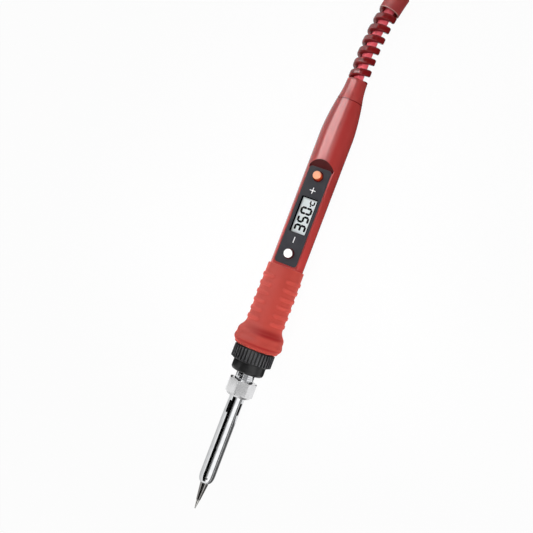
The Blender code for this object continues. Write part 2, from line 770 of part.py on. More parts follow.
def make_handle():
    """The one-piece handle tube, cut away on top for the control panel, and its silicone grip."""
    tail = [(handle_taper(station), station) for station in np.linspace(HANDLE_END, HANDLE_TAPER, 8)]
    shell = turned(
        "handle_shell",
        [
            *tail,
            (HANDLE_RADIUS, HANDLE_SHOULDER),
            (NOSE_RADIUS, HANDLE_SHOULDER),
            (NOSE_RADIUS, NOSE_FRONT),
            (NOSE_BORE_RADIUS, NOSE_FRONT),
            (NOSE_BORE_RADIUS, NOSE_BORE_END),
            (HANDLE_BORE_RADIUS, HANDLE_BORE_FRONT),
            (HANDLE_BORE_RADIUS, HANDLE_BORE_TAPER),
            (HANDLE_POCKET_RADIUS, HANDLE_POCKET),
            (HANDLE_POCKET_RADIUS, HANDLE_DOOR),
            (HANDLE_DOOR_RADIUS, HANDLE_DOOR),
            (HANDLE_DOOR_RADIUS, HANDLE_END),
        ],
        RED_ABS,
    )
    for name, stations in (("front_bulkhead", FRONT_BULKHEAD), ("rear_bulkhead", REAR_BULKHEAD)):
        boolean(shell, bulkhead(name, *stations), "UNION")
    above = 2 * HANDLE_RADIUS
    slope_run = (above - FLAT_HEIGHT) / math.tan(RECESS_SLOPE)
    side = [
        (RECESS_FRONT, FLAT_HEIGHT),
        (RECESS_FOOT, FLAT_HEIGHT),
        (RECESS_FOOT + slope_run, above),
        (RECESS_FRONT, above),
    ]
    mesh = outline_mesh("panel_recess", side, above + HANDLE_RADIUS)
    cut(shell, as_cutter(bpy.data.objects.new("panel_recess", mesh), ON_SIDE))
    door = rounded_rectangle(
        (-DOOR_HALF_WIDTH, PANEL_FRONT + DOOR_MARGIN),
        (DOOR_HALF_WIDTH, PANEL_END - DOOR_MARGIN),
        PANEL_CORNER,
    )
    cut(shell, plate_cutter("panel_door", door, FLAT_HEIGHT, HANDLE_RADIUS / 2))

    rough_bore = GRIP_BORE_RADIUS - GRIP_BORE_STOCK
    grip = turned(
        "grip_sleeve",
        [
            (rough_bore, GRIP_END),
            (GRIP_RADIUS - GRIP_END_DROP, GRIP_END),
            (GRIP_RADIUS, GRIP_END - GRIP_END_ROUND),
            (GRIP_RADIUS, GRIP_WAIST + PAST),
            *[(radius, FLARE + after) for radius, after in FLARE_SIDE],
            (FLARE_FACE_RADIUS, GRIP_FRONT),
            (rough_bore, GRIP_FRONT),
        ],
        RED_SILICONE,
    )
    for rib in range(RIB_COUNT):
        station = RIB_FIRST + rib * RIB_PITCH
        for bank, (start, end) in enumerate(RIB_BANKS):
            boolean(grip, grip_rib(f"rib_{rib}_{bank}", station, start, end), "UNION")
    bore = turned_object(
        "grip_bore",
        [
            (0, GRIP_END + PAST),
            (GRIP_BORE_RADIUS, GRIP_END + PAST),
            (GRIP_BORE_RADIUS, GRIP_FRONT - PAST),
            (0, GRIP_FRONT - PAST),
        ],
        ROUND,
        closed=False,
    )
    cut(grip, as_cutter(bore, Matrix()))


def bulkhead(name, front, end):
    """A wall across the top of the handle's bore, which closes the end of the panel's recess."""
    low = math.degrees(math.asin(BULKHEAD_UNDERSIDE / BULKHEAD_RADIUS))
    outline = corner_arc((0, 0), BULKHEAD_RADIUS, low, 180 - low, 13)
    mesh = outline_mesh(name, outline, end - front)
    return as_cutter(bpy.data.objects.new(name, mesh), Matrix.Translation((0, 0, (front + end) / 2)))


def grip_rib(name, station, start, end):
    """A round bar along part of the grip's girth, thinned to a rounded end at both ends."""
    middle_radius = GRIP_RADIUS + RIB_PROUD - RIB_RADIUS
    curve = bpy.data.curves.new(name, "CURVE")
    curve.dimensions = "3D"
    curve.bevel_depth = RIB_RADIUS
    curve.bevel_resolution = 1
    curve.use_fill_caps = True
    spline = curve.splines.new("POLY")
    spline.points.add(RIB_POINTS - 1)
    for number, spot in enumerate(spline.points):
        angle = start + (end - start) * number / (RIB_POINTS - 1)
        spot.co = (-middle_radius * math.sin(angle), middle_radius * math.cos(angle), station, 1)
        spot.radius = RIB_END_SHARE if number in (0, RIB_POINTS - 1) else 1
    guide = bpy.data.objects.new(name, curve)
    CUTTERS.objects.link(guide)
    mesh = evaluated_mesh(guide)
    bpy.data.objects.remove(guide)
    welded(mesh)
    return as_cutter(bpy.data.objects.new(name, mesh), Matrix())


def make_panel():
    """The grey panel with its window and button holes, and the display under it."""
    plate = rounded_rectangle(
        (-PANEL_HALF_WIDTH, PANEL_FRONT), (PANEL_HALF_WIDTH, PANEL_END), PANEL_CORNER
    )
    mesh = outline_mesh("control_panel", plate, PANEL_THICKNESS)
    place = Matrix.Translation((0, PANEL_HEIGHT - PANEL_THICKNESS / 2, 0)) @ ON_PANEL
    panel = put(bpy.data.objects.new("control_panel", mesh), IRON, place, GREY_PLATE)
    boss_top = PANEL_HEIGHT - PANEL_THICKNESS / 2
    boss_outline = rounded_rectangle(
        (-BOSS_HALF_WIDTH, PANEL_FRONT + BOSS_MARGIN),
        (BOSS_HALF_WIDTH, PANEL_END - BOSS_MARGIN),
        PANEL_CORNER,
    )
    boss = plate_cutter(
        "panel_boss", boss_outline, (boss_top + BOSS_UNDERSIDE) / 2, boss_top - BOSS_UNDERSIDE
    )
    boolean(panel, boss, "UNION")
    window = rounded_rectangle(
        (-WINDOW_HALF_WIDTH, WINDOW_FRONT), (WINDOW_HALF_WIDTH, WINDOW_END), WINDOW_CORNER, 3
    )
    cut(panel, plate_cutter("display_opening", window, PANEL_HEIGHT, HANDLE_RADIUS))
    for name, station in (("plus_hole", PLUS_STATION), ("minus_hole", MINUS_STATION)):
        hole = cylinder_mesh(name, BUTTON_HOLE_RADIUS, HANDLE_RADIUS, SMALL_ROUND)
        cut(panel, as_cutter(bpy.data.objects.new(name, hole), upright(PANEL_HEIGHT, station)))

    box(
        "lcd_glass",
        (-GLASS_HALF_WIDTH, GLASS_UNDERSIDE, WINDOW_FRONT - GLASS_MARGIN),
        (GLASS_HALF_WIDTH, GLASS_TOP, WINDOW_END + GLASS_MARGIN),
        LCD,
    )
    for name, side in (("contact_strip_left", 1), ("contact_strip_right", -1)):
        across = side * CONTACT_STRIP_ACROSS
        box(
            name,
            (across - CONTACT_STRIP_WIDTH / 2, BOARD_TOP + GAP, WINDOW_FRONT),
            (across + CONTACT_STRIP_WIDTH / 2, GLASS_UNDERSIDE - GAP, WINDOW_END),
            BLACK_EPOXY,
        )


def make_button(name, station, radius, stand, material):
    """A push button with a flange under the panel, and the switch with the plunger that it presses."""
    top = PANEL_HEIGHT + stand
    button = turned_object(
        f"{name}_button",
        [
            (0, top),
            (radius - BUTTON_EDGE, top),
            (radius, top - BUTTON_EDGE),
            (radius, BUTTON_FLANGE_TOP),
            (BUTTON_FLANGE_RADIUS, BUTTON_FLANGE_TOP),
            (BUTTON_FLANGE_RADIUS, BUTTON_FLANGE_UNDERSIDE),
            (0, BUTTON_FLANGE_UNDERSIDE),
        ],
        SMALL_ROUND,
        closed=False,
    )
    put(button, IRON, upright(0, station), material)
    stem = cylinder_mesh("plunger", PLUNGER_RADIUS, PLUNGER_TOP - PLUNGER_UNDERSIDE, LEAST_ROUND)
    plunger = bpy.data.objects.new(f"{name}_plunger", stem)
    put(plunger, IRON, upright((PLUNGER_TOP + PLUNGER_UNDERSIDE) / 2, station), BLACK_EPOXY)
    half = SWITCH_SIDE / 2
    switch = box(
        f"{name}_switch",
        (-half, BOARD_TOP + GAP, station - half),
        (half, SWITCH_TOP, station + half),
        BLACK_EPOXY,
    )
    well_top = SWITCH_TOP + PAST
    well = cylinder_mesh(f"{name}_well", SWITCH_WELL_RADIUS, well_top - SWITCH_WELL_FLOOR, LEAST_ROUND)
    place = upright((well_top + SWITCH_WELL_FLOOR) / 2, station)
    cut(switch, as_cutter(bpy.data.objects.new(f"{name}_well", well), place))


def make_electronics():
    """The board under the display, the components on its underside, and the leads inside the handle."""
    box(
        "main_board",
        (-BOARD_HALF_WIDTH, BOARD_UNDERSIDE, BOARD_FRONT),
        (BOARD_HALF_WIDTH, BOARD_TOP, BOARD_END),
        BOARD_GREEN,
    )
    under = BOARD_UNDERSIDE - GAP
    for name, half_width, height, front, end, material in (
        ("controller_chip", 0.0030, 0.0015, 0.1372, 0.1458, BLACK_EPOXY),
        ("film_capacitor", 0.0025, 0.0050, 0.1620, 0.1750, YELLOW_FILM),
        ("power_triac", 0.0033, 0.0032, 0.1795, 0.1895, BLACK_EPOXY),
    ):
        box(name, (-half_width, under - height, front), (half_width, under, end), material)
    can = bpy.data.objects.new(
        "smoothing_capacitor", cylinder_mesh("can", CAN_RADIUS, CAN_LENGTH, LEAST_ROUND)
    )
    put(can, IRON, Matrix.Translation((0, under - CAN_RADIUS, CAN_MIDDLE)), BLUE_SLEEVE)

    lead_start = HEATER_END + GAP
    over_board = BOARD_TOP + GAP + LEAD_RADIUS
    under_board = BOARD_UNDERSIDE - GAP - LEAD_RADIUS
    for name, side, across, height in (
        ("heater_lead_1", 1, LEAD_ACROSS_TOP, over_board),
        ("heater_lead_2", -1, LEAD_ACROSS_TOP, over_board),
        ("sensor_lead_1", 1, LEAD_ACROSS_UNDER, under_board),
        ("sensor_lead_2", -1, LEAD_ACROSS_UNDER, under_board),
    ):
        level = math.copysign(LEAD_SPREAD, height)
        route = [
            (side * LEAD_SPREAD, level, lead_start),
            (side * LEAD_SPREAD, level, lead_start + LEAD_STRAIGHT),
            (side * (LEAD_SPREAD + across) / 2, (level + height) / 2, (lead_start + BOARD_FRONT) / 2),
            (side * across, height, BOARD_FRONT - LEAD_SETTLED),
            (side * across, height, BOARD_FRONT + LEAD_LAP),
        ]
        tube(name, smooth_route(route, LEAD_SPACING), LEAD_RADIUS, GLASS_FIBRE, IRON, 1)
    mains_height = BOARD_TOP + GAP + MAINS_LEAD_RADIUS
    for name, side, material in (("live_lead", 1, BROWN_PVC), ("neutral_lead", -1, BLUE_PVC)):
        route = [
            (side * MAINS_LEAD_SPREAD, 0, CORD_START - GAP),
            (side * MAINS_LEAD_SPREAD, 0, CORD_START - MAINS_LEAD_STRAIGHT),
            (side * MAINS_LEAD_ACROSS, mains_height, BOARD_END + MAINS_LEAD_BEND),
            (side * MAINS_LEAD_ACROSS, mains_height, BOARD_END - MAINS_LEAD_LAP),
        ]
        tube(name, smooth_route(route, MAINS_LEAD_SPACING), MAINS_LEAD_RADIUS, material, IRON, 1)


def make_cable_entry():
    """The clamp on the cord inside the handle, and the boot whose spiral rib bends with the cord."""
    turned(
        "cord_clamp",
        [
            (CLAMP_RADIUS, CLAMP_END),
            (CLAMP_RADIUS, CLAMP_FRONT),
            (CORD_BORE_RADIUS, CLAMP_FRONT),
            (CORD_BORE_RADIUS, CLAMP_END),
        ],
        BLACK_NYLON,
        SMALL_ROUND,
    )
    boot_length = BOOT_END - BOOT_FRONT
    boot_side = [
        (
            SPIRAL_RADIUS + (BOOT_FRONT_RADIUS - SPIRAL_RADIUS) * ((BOOT_END - station) / boot_length) ** 2,
            station,
        )
        for station in np.linspace(BOOT_END, BOOT_FRONT, 7)
    ]
    boot = turned_object(
        "boot",
        [
            *boot_side,
            (BOOT_NECK_RADIUS, BOOT_FRONT),
            (BOOT_NECK_RADIUS, BOOT_FLANGE_END),
            (BOOT_FLANGE_RADIUS, BOOT_FLANGE_END),
            (BOOT_FLANGE_RADIUS, BOOT_FLANGE),
            (CORD_BORE_RADIUS, BOOT_FLANGE),
            (CORD_BORE_RADIUS, BOOT_END),
        ],
        BOOT_ROUND,
        closed=True,
    )
    rings = np.linspace(FERRULE_END, FERRULE_FRONT, FERRULE_RINGS)
    cup_end = FERRULE_FRONT + FERRULE_CUP
    ferrule = turned_object(
        "ferrule",
        [
            (FERRULE_RADIUS - FERRULE_END_ROUND, FERRULE_END),
            (FERRULE_RADIUS, FERRULE_END - FERRULE_END_ROUND),
            *[(FERRULE_RADIUS, station) for station in rings[1:-1]],
            (FERRULE_RADIUS, FERRULE_FRONT + FERRULE_EDGE),
            (FERRULE_RADIUS - FERRULE_EDGE, FERRULE_FRONT),
            (FERRULE_CUP_RADIUS, FERRULE_FRONT),
            (FERRULE_CUP_RADIUS, cup_end),
            (CORD_BORE_RADIUS, cup_end),
            (CORD_BORE_RADIUS, FERRULE_END),
        ],
        BOOT_ROUND,
        closed=True,
    )
    as_cutter(ferrule, Matrix())
    spiral = as_cutter(spiral_object(), Matrix())
    as_cutter(boot, Matrix())
    boolean(boot, spiral, "UNION")
    boolean(boot, ferrule, "UNION")
    mesh = evaluated_mesh(boot)
    mesh.name = "strain_relief"
    for vertex in mesh.vertices:
        vertex.co = bent(vertex.co)
    put(bpy.data.objects.new("strain_relief", mesh), IRON, Matrix(), RED_PVC)
    spiral_gap = SPIRAL_PITCH - SPIRAL_THICKNESS
    print(f"least gap between the turns of the cable entry's spiral: {1000 * spiral_gap:.2f} mm")


def spiral_object():
    """One unbroken rib of rectangular section, screwed round the cord, with both its ends filled."""
    corner = SPIRAL_CORNER
    start = SPIRAL_START_TURNS
    first = SPIRAL_FRONT + SPIRAL_PITCH * (start - SPIRAL_TURN / (2 * math.pi))
    half = SPIRAL_THICKNESS / 2
    section = [
        (SPIRAL_INNER_RADIUS, half),
        (SPIRAL_RADIUS - corner, half),
        (SPIRAL_RADIUS, half - corner),
        (SPIRAL_RADIUS, corner - half),
        (SPIRAL_RADIUS - corner, -half),
        (SPIRAL_INNER_RADIUS, -half),
    ]
    count = round((SPIRAL_END_TURNS - start) * SPIRAL_STEPS)
    shape = bmesh.new()
    ring = [shape.verts.new((radius, 0, first + level)) for radius, level in section]
    face = shape.faces.new(ring)
    turn = count / SPIRAL_STEPS * 2 * math.pi
    bmesh.ops.spin(
        shape,
        geom=[face, *face.edges, *face.verts],
        axis=(0, 0, 1),
        cent=(0, 0, 0),
        dvec=(0, 0, SPIRAL_PITCH / SPIRAL_STEPS),
        angle=turn,
        steps=count,
    )
    # Angle zero of the spin is at +X, and the stations above are counted from +Y.
    bmesh.ops.rotate(shape, verts=shape.verts, cent=(0, 0, 0), matrix=Matrix.Rotation(math.pi / 2, 3, "Z"))
    bmesh.ops.remove_doubles(shape, verts=shape.verts, dist=0.000001)
    bmesh.ops.recalc_face_normals(shape, faces=shape.faces)
    mesh = bpy.data.meshes.new("spiral")
    shape.to_mesh(mesh)
    shape.free()
    return bpy.data.objects.new("spiral", mesh)


def hank_point(turns):
    """The middle of the cord after a number of loops round the hank, each a layer higher than the last."""
    layer = int(turns + 1e-9)
    share = turns - layer
    outward = 1 - share if layer % 2 == 0 else share
    fold = HANK_FOLD_RADIUS + outward * HANK_STEP
    waist = HANK_WAIST + outward * HANK_WAIST_STEP
    quarter = int(share * 4 + 1e-9)
    along = share * 4 - quarter
    base = CORD_ON_BENCH + layer * LAYER_STEP
    far = HANK_NEAR + HANK_RUN
    if quarter in (0, 2):
        drawn_in = (1 - math.cos(2 * math.pi * along)) / 2
        half_width = fold + (waist - fold) * drawn_in
        height = base + HANK_WAIST_LIFT * drawn_in
        if quarter == 0:
            # A loop climbs from the layer below along its first run.
            climb = LAYER_STEP * (1 - along) if layer else 0
            return Vector((HANK_NEAR + HANK_RUN * along, -half_width, height - climb))
        return Vector((far - HANK_RUN * along, half_width, height))
    angle = math.pi * (along - 0.5)
    if quarter == 1:
        return Vector((far + fold * math.cos(angle), fold * math.sin(angle), base))
    return Vector((HANK_NEAR - fold * math.cos(angle), -fold * math.sin(angle), base))


def make_hank():
    """Three loops and a last run of the cord, folded in line with the iron and tied at the waist."""
    last = HANK_LOOPS + HANK_LAST_RUN
    count = round(last * HANK_LOOP_POINTS)
    loops = [hank_point(last * i / count) for i in range(count + 1)]
    straight = Vector((2 * CORD_RADIUS, 0, 0))
    points = [loops[0] - straight, *loops, loops[-1] + straight]
    tube("cord_hank", points, CORD_RADIUS, RED_PVC, None, 1)

    fine = np.array([hank_point(turns) for turns in np.linspace(0, last, HANK_TEST_POINTS)])
    along = np.concatenate([[0], np.cumsum(np.linalg.norm(np.diff(fine, axis=0), axis=1))])
    apart = np.linalg.norm(fine[:, None] - fine[None], axis=2)
    apart[abs(along[:, None] - along[None]) < 8 * CORD_RADIUS] = 1
    print(f"least gap of the hank to itself: {1000 * (apart.min() - 2 * CORD_RADIUS):.2f} mm")
    print(f"cord in the hank: {along[-1]:.3f} m")

    middle = HANK_NEAR + HANK_RUN / 2
    at_waist = fine[abs(fine[:, 0] - middle) < TIE_WIDTH]
    low = at_waist.min(axis=0) - CORD_RADIUS - GAP
    high = at_waist.max(axis=0) + CORD_RADIUS + GAP
    inner = rounded_rectangle(low[1:], high[1:], TIE_CORNER)
    outer = rounded_rectangle(
        low[1:] - TIE_THICKNESS, high[1:] + TIE_THICKNESS, TIE_CORNER + TIE_THICKNESS
    )
    place = Matrix.Translation((middle, 0, 0)) @ Matrix(((0, 0, 1), (1, 0, 0), (0, 1, 0))).to_4x4()
    tie_mesh = outline_mesh("hank_tie", outer, TIE_WIDTH)
    tie = put(bpy.data.objects.new("hank_tie", tie_mesh), None, place, BLACK_NYLON)
    hole_mesh = outline_mesh("tie_hole", inner, 2 * TIE_WIDTH)
    hole = as_cutter(bpy.data.objects.new("tie_hole", hole_mesh), Matrix())
    hole.parent = None
    hole.matrix_world = place
    cut(tie, hole)
    return points


def make_cord():
    """The mains lead: out through the cable entry, down to the bench, round the hank and on to its plug."""
    hank = make_hank()
    entry = [
        IRON.matrix_world @ bent((0, 0, station))
        for station in np.linspace(CORD_START, FERRULE_END + CORD_PAST_FERRULE, 9)
    ]
    start = hank[0] - Vector((GAP, 0, 0))
    # Places on the bench, chosen by hand: a low S from the cable entry to the outer run of the hank
    bench = [
        (0.1470, -0.0086, 0.0051),
        (0.1532, -0.0123, 0.0044),
        (0.1585, -0.0156, 0.0036),
        (0.1645, -0.0185, 0.0029),
        (0.1715, -0.0206, CORD_ON_BENCH),
        start - Vector((0.005, 0, 0)),
    ]
    lead = smooth_route([*entry, *bench, start], 3 * CORD_RADIUS)
    tube("cord_lead", lead, CORD_RADIUS, RED_PVC, None, 3)

    leave = hank[-1] + Vector((GAP, 0, 0))
    plug = Vector((PLUG_REAR - GAP, PLUG_ACROSS, PLUG_HEIGHT))
    tail = smooth_route(
        [
            leave,
            leave + Vector((0.006, 0.0004, -0.0004)),
            (0.3010, -0.0145, 0.0172),
            (0.3105, -0.0107, 0.0127),
            (0.3195, -0.0068, 0.0086),
            plug - Vector((0.006, 0, 0)),
            plug,
        ],
        3 * CORD_RADIUS,
    )
    tube("cord_tail", tail, CORD_RADIUS, RED_PVC, None, 3)


def make_plug():
    """A flat two-pin plug, lying in line with the hank."""
    back = PLUG_REAR + PLUG_RELIEF
    front = back + PLUG_BODY
    half = PLUG_WIDTH / 2
    rear = PLUG_REAR_WIDTH / 2
    drawn_in = PLUG_BODY - PLUG_SHOULDER
    sides = [
        *corner_arc((front - PLUG_CORNER, half - PLUG_CORNER), PLUG_CORNER, 0, 90, 4),
        *[
            (front - PLUG_SHOULDER - drawn_in * t, rear + (half - rear) * (1 - t**2))
            for t in np.linspace(0.1, 0.9, 4)
        ],
        (back, rear),
    ]
    outline = sides + [(along, -across) for along, across in reversed(sides)]
    mesh = outline_mesh("plug_body", outline, PLUG_THICKNESS)
    body = put(
        bpy.data.objects.new("plug_body", mesh),
        None,
        Matrix.Translation((0, PLUG_ACROSS, PLUG_HEIGHT)),
        RED_PVC,
    )
    bevel = body.modifiers.new("rounded_edges", "BEVEL")
    bevel.width = PLUG_EDGE
    bevel.segments = 2
    bevel.limit_method = "ANGLE"
    bevel.angle_limit = math.radians(60)
    to_world_x = Matrix.Rotation(math.radians(90), 4, "Y")
    relief = as_cutter(
        turned_object(
            "plug_relief",
            [
                (0, PLUG_RELIEF + PLUG_RELIEF_OVERLAP),
                (PLUG_RELIEF_RADIUS, PLUG_RELIEF + PLUG_RELIEF_OVERLAP),
                (PLUG_RELIEF_RADIUS, PLUG_RELIEF - PAST),
                (PLUG_RELIEF_TIP_RADIUS, PLUG_RELIEF_EDGE),
                (PLUG_RELIEF_TIP_RADIUS - PLUG_RELIEF_EDGE, 0),
                (0, 0),
            ],
            SMALL_ROUND,
            closed=False,
        ),
        Matrix(),
    )
    relief.parent = None
    relief.matrix_world = Matrix.Translation((PLUG_REAR, PLUG_ACROSS, PLUG_HEIGHT)) @ to_world_x
    boolean(body, relief, "UNION")
    for name, side in (("plug_pin_1", 1), ("plug_pin_2", -1)):
        across = PLUG_ACROSS + side * PIN_SPACING / 2
        seat = cylinder_mesh(f"{name}_hole", PIN_RADIUS + GAP, 2 * PIN_SEAT, LEAST_ROUND)
        hole = as_cutter(bpy.data.objects.new(seat.name, seat), Matrix())
        hole.parent = None
        hole.matrix_world = Matrix.Translation((front, across, PLUG_HEIGHT)) @ to_world_x
        cut(body, hole)
        pin = turned_object(
            name,
            [
                (0, PIN_LENGTH),
                (PIN_TIP_RADIUS, PIN_LENGTH),
                (PIN_RADIUS, PIN_LENGTH - PIN_TAPER),
                (PIN_RADIUS, GAP - PIN_SEAT),
                (0, GAP - PIN_SEAT),
            ],
            LEAST_ROUND,
            closed=False,
        )
        put(pin, None, hole.matrix_world, BRASS)


bpy.context.view_layer.update()
make_barrel()
make_nut()
make_neck_and_collar()
make_handle()
make_panel()
make_button("plus", PLUS_STATION, PLUS_RADIUS, PLUS_STAND, ORANGE)
make_button("minus", MINUS_STATION, MINUS_RADIUS, MINUS_STAND, WHITE)
make_electronics()
make_cable_entry()
make_cord()
make_plug()
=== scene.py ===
"""Looks of a mains soldering iron whose handle holds a digital temperature control.

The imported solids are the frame. Each sub-assembly is a class: its fields are sizes in metres, and its
methods model the visible pieces, give them their finish and hang them on the body that carries them.
Pieces are modelled in the iron's own frame, where Z runs along the axis from the point of the tip to the
cable, Y is the way that the panel faces, and X points to the left of someone who looks at the panel with the
tip nearest. "Station" means a distance along that axis from the point of the tip.
"""

import json
import logging
import math
from collections.abc import Callable, Iterator, Sequence
from contextlib import contextmanager
from dataclasses import dataclass
from enum import Enum

import bpy
import numpy as np
from mathutils import Matrix, Vector

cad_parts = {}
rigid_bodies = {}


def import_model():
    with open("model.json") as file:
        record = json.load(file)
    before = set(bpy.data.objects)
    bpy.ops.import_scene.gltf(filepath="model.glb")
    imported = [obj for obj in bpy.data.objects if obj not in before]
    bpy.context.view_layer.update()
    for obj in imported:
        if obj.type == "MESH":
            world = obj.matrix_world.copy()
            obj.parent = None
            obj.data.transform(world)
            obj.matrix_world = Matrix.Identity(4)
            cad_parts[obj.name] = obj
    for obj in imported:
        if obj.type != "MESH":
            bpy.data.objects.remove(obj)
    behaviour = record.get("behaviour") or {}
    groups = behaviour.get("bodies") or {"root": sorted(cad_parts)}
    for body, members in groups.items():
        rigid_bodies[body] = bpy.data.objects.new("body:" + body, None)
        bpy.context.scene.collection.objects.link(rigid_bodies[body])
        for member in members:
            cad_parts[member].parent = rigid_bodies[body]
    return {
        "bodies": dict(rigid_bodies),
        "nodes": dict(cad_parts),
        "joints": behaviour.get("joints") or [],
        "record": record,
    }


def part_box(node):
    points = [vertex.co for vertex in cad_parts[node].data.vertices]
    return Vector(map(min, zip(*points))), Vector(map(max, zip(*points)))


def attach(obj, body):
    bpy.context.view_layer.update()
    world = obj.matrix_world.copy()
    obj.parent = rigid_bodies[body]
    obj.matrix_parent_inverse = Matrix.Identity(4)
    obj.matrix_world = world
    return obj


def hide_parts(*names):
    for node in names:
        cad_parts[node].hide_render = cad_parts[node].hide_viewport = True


LOG = logging.getLogger("soldering_iron")
WELD = 1e-6
ROUND = 96
FULL_TURN = 2 * math.pi
Piece = bpy.types.Object
Node = bpy.types.Node
Tree = bpy.types.NodeTree
Pair = tuple[float, float]
Triple = tuple[float, float, float]
Profile = Sequence[Pair]
Layers = Iterator[tuple[Node, str]]

# Turns a flat plate, drawn as (across, station), to face the way of the panel, with its depth going down.
ON_PANEL = Matrix(((1, 0, 0), (0, 0, -1), (0, 1, 0))).to_4x4()
# Turns an outline drawn as (station, height) to stand along the axis, with its depth going across.
ON_SIDE = Matrix(((0, 0, -1), (0, 1, 0), (1, 0, 0))).to_4x4()


class Join(Enum):
    """How two shapes become one."""

    CUT = "DIFFERENCE"
    COMMON = "INTERSECT"
    FUSE = "UNION"


class Body(Enum):
    """The bodies that move as one."""

    HANDLE = "handle"
    NECK = "neck"
    COLLAR = "collar"
    BARREL = "barrel"
    NUT = "nut"
    PLUS = "plus"
    MINUS = "minus"


def deselect_all() -> None:
    """Leaves nothing selected, so that an operator acts on one piece alone."""
    bpy.ops.object.select_all(action="DESELECT")


def make_active(obj: Piece) -> None:
    """Makes one object the only selected and the active one."""
    deselect_all()
    obj.select_set(True)
    bpy.context.view_layer.objects.active = obj


def started(name: str, primitive: Callable[..., set], **sizes: float) -> Piece:
    """Adds a primitive as the start of a piece.

    Args:
        name: Name of the new object.
        primitive: The operator that adds the primitive.
        sizes: Its sizes.

    Returns:
        The object, active and alone in being selected.
    """
    deselect_all()
    primitive(**sizes)
    obj = bpy.context.object
    obj.name = obj.data.name = name
    return obj


@contextmanager
def shaping() -> Iterator[None]:
    """Edits the active mesh, all of it selected at first, and leaves its faces pointing outwards."""
    bpy.ops.object.mode_set(mode="EDIT")
    bpy.ops.mesh.select_all(action="SELECT")
    yield
    bpy.ops.mesh.select_all(action="SELECT")
    bpy.ops.mesh.normals_make_consistent(inside=False)
    bpy.ops.object.mode_set(mode="OBJECT")


def drawn_line(name: str, points: Sequence[Sequence[float]]) -> Piece:
    """Draws a line of edges by extruding one point from place to place.

    Args:
        name: Name of the new object.
        points: Places in the object's own frame.

    Returns:
        The object, in object mode.
    """
    obj = started(name, bpy.ops.mesh.primitive_plane_add, size=0.01)
    with shaping():
        bpy.ops.mesh.merge(type="CENTER")
        bpy.ops.transform.translate(value=points[0])
        for here, there in zip(points, points[1:]):
            step = Vector(there) - Vector(here)
            bpy.ops.mesh.extrude_region_move(TRANSFORM_OT_translate={"value": step})
    return obj


def turned(name: str, profile: Profile, sides: int = ROUND) -> Piece:
    """Turns an outline about the axis.

    Args:
        name: Name of the new object.
        profile: Points (radius, station). A ring ends on its first point, a solid on the axis.
        sides: Steps round the axis.

    Returns:
        The closed object.
    """
    obj = drawn_line(name, [(radius, 0, station) for radius, station in profile])
    with shaping():
        bpy.ops.mesh.spin(steps=sides, angle=FULL_TURN, center=(0, 0, 0), axis=(0, 0, 1))
        bpy.ops.mesh.select_all(action="SELECT")
        bpy.ops.mesh.remove_doubles(threshold=WELD)
    return obj


def rod(name: str, radius: float, low: float, high: float, sides: int = ROUND) -> Piece:
    """A plain round rod from one station to another."""
    return turned(name, [(0, low), (radius, low), (radius, high), (0, high)], sides)


def ring(name: str, inner: float, outer: float, low: float, high: float, sides: int) -> Piece:
    """A plain ring between two radii, from one station to another."""
    return turned(name, [(inner, low), (outer, low), (outer, high), (inner, high), (inner, low)], sides)


def prism(name: str, outline: Profile, low: float, high: float) -> Piece:
    """Raises a flat outline to a solid.

    Args:
        name: Name of the new object.
        outline: Corners (x, y), in order.
        low: Height of the lower face.
        high: Height of the upper face.

    Returns:
        The closed object, standing along Z.
    """
    obj = drawn_line(name, [(x, y, low) for x, y in outline])
    with shaping():
        bpy.ops.mesh.edge_face_add()
        bpy.ops.mesh.extrude_region_move(TRANSFORM_OT_translate={"value": (0, 0, high - low)})
    return obj


def plate(
    name: str, low: Sequence[float], high: Sequence[float], corner: float, depth: float, segments: int = 8
) -> Piece:
    """Makes a flat plate with rounded corners.

    Args:
        name: Name of the new object.
        low: Lowest corner (x, y).
        high: Highest corner (x, y).
        corner: Radius of the corners.
        depth: How far the plate goes up from Z = 0.
        segments: Steps round a corner.

    Returns:
        The closed object.
    """
    obj = started(name, bpy.ops.mesh.primitive_plane_add, size=1)
    with shaping():
        bpy.ops.transform.resize(value=(high[0] - low[0], high[1] - low[1], 1))
        bpy.ops.transform.translate(value=((low[0] + high[0]) / 2, (low[1] + high[1]) / 2, 0))
        bpy.ops.mesh.bevel(offset=corner, segments=segments, affect="VERTICES")
        bpy.ops.mesh.extrude_region_move(TRANSFORM_OT_translate={"value": (0, 0, depth)})
    return obj


def settle(obj: Piece, place: Matrix) -> Piece:
    """Moves an object to a place and writes that place into its mesh.

    Args:
        obj: The object.
        place: Where it goes.

    Returns:
        The same object, at the origin again.
    """
    obj.matrix_world = place
    make_active(obj)
    bpy.ops.object.transform_apply(location=True, rotation=True, scale=True)
    return obj


def apply_modifier(obj: Piece, kind: str, **settings: object) -> None:
    """Adds a modifier and applies it.

    Args:
        obj: The object.
        kind: Blender's name for the kind of modifier.
        settings: Properties of the modifier.
    """
    modifier = obj.modifiers.new(kind.lower(), kind)
    for name, value in settings.items():
        setattr(modifier, name, value)
    make_active(obj)
    bpy.ops.object.modifier_apply(modifier=modifier.name)


def combine(obj: Piece, other: Piece, join: Join) -> None:
    """Cuts, joins or trims one object by another, which is then gone."""
    apply_modifier(obj, "BOOLEAN", operation=join.value, solver="EXACT", object=other)
    bpy.data.objects.remove(other)


def open_frame(name: str, outer: tuple, inner: tuple, depth: float) -> Piece:
    """Makes a flat frame.

    Args:
        name: Name of the new object.
        outer: Lowest corner, highest corner and corner radius of its outline.
        inner: The same for its opening.
        depth: How far it goes up from Z = 0.

    Returns:
        The closed object.
    """
    frame = plate(name, *outer, depth)
    hole = plate("hole", *inner, 3 * depth)
    hole.location.z = -depth
    combine(frame, hole, Join.CUT)
    return frame


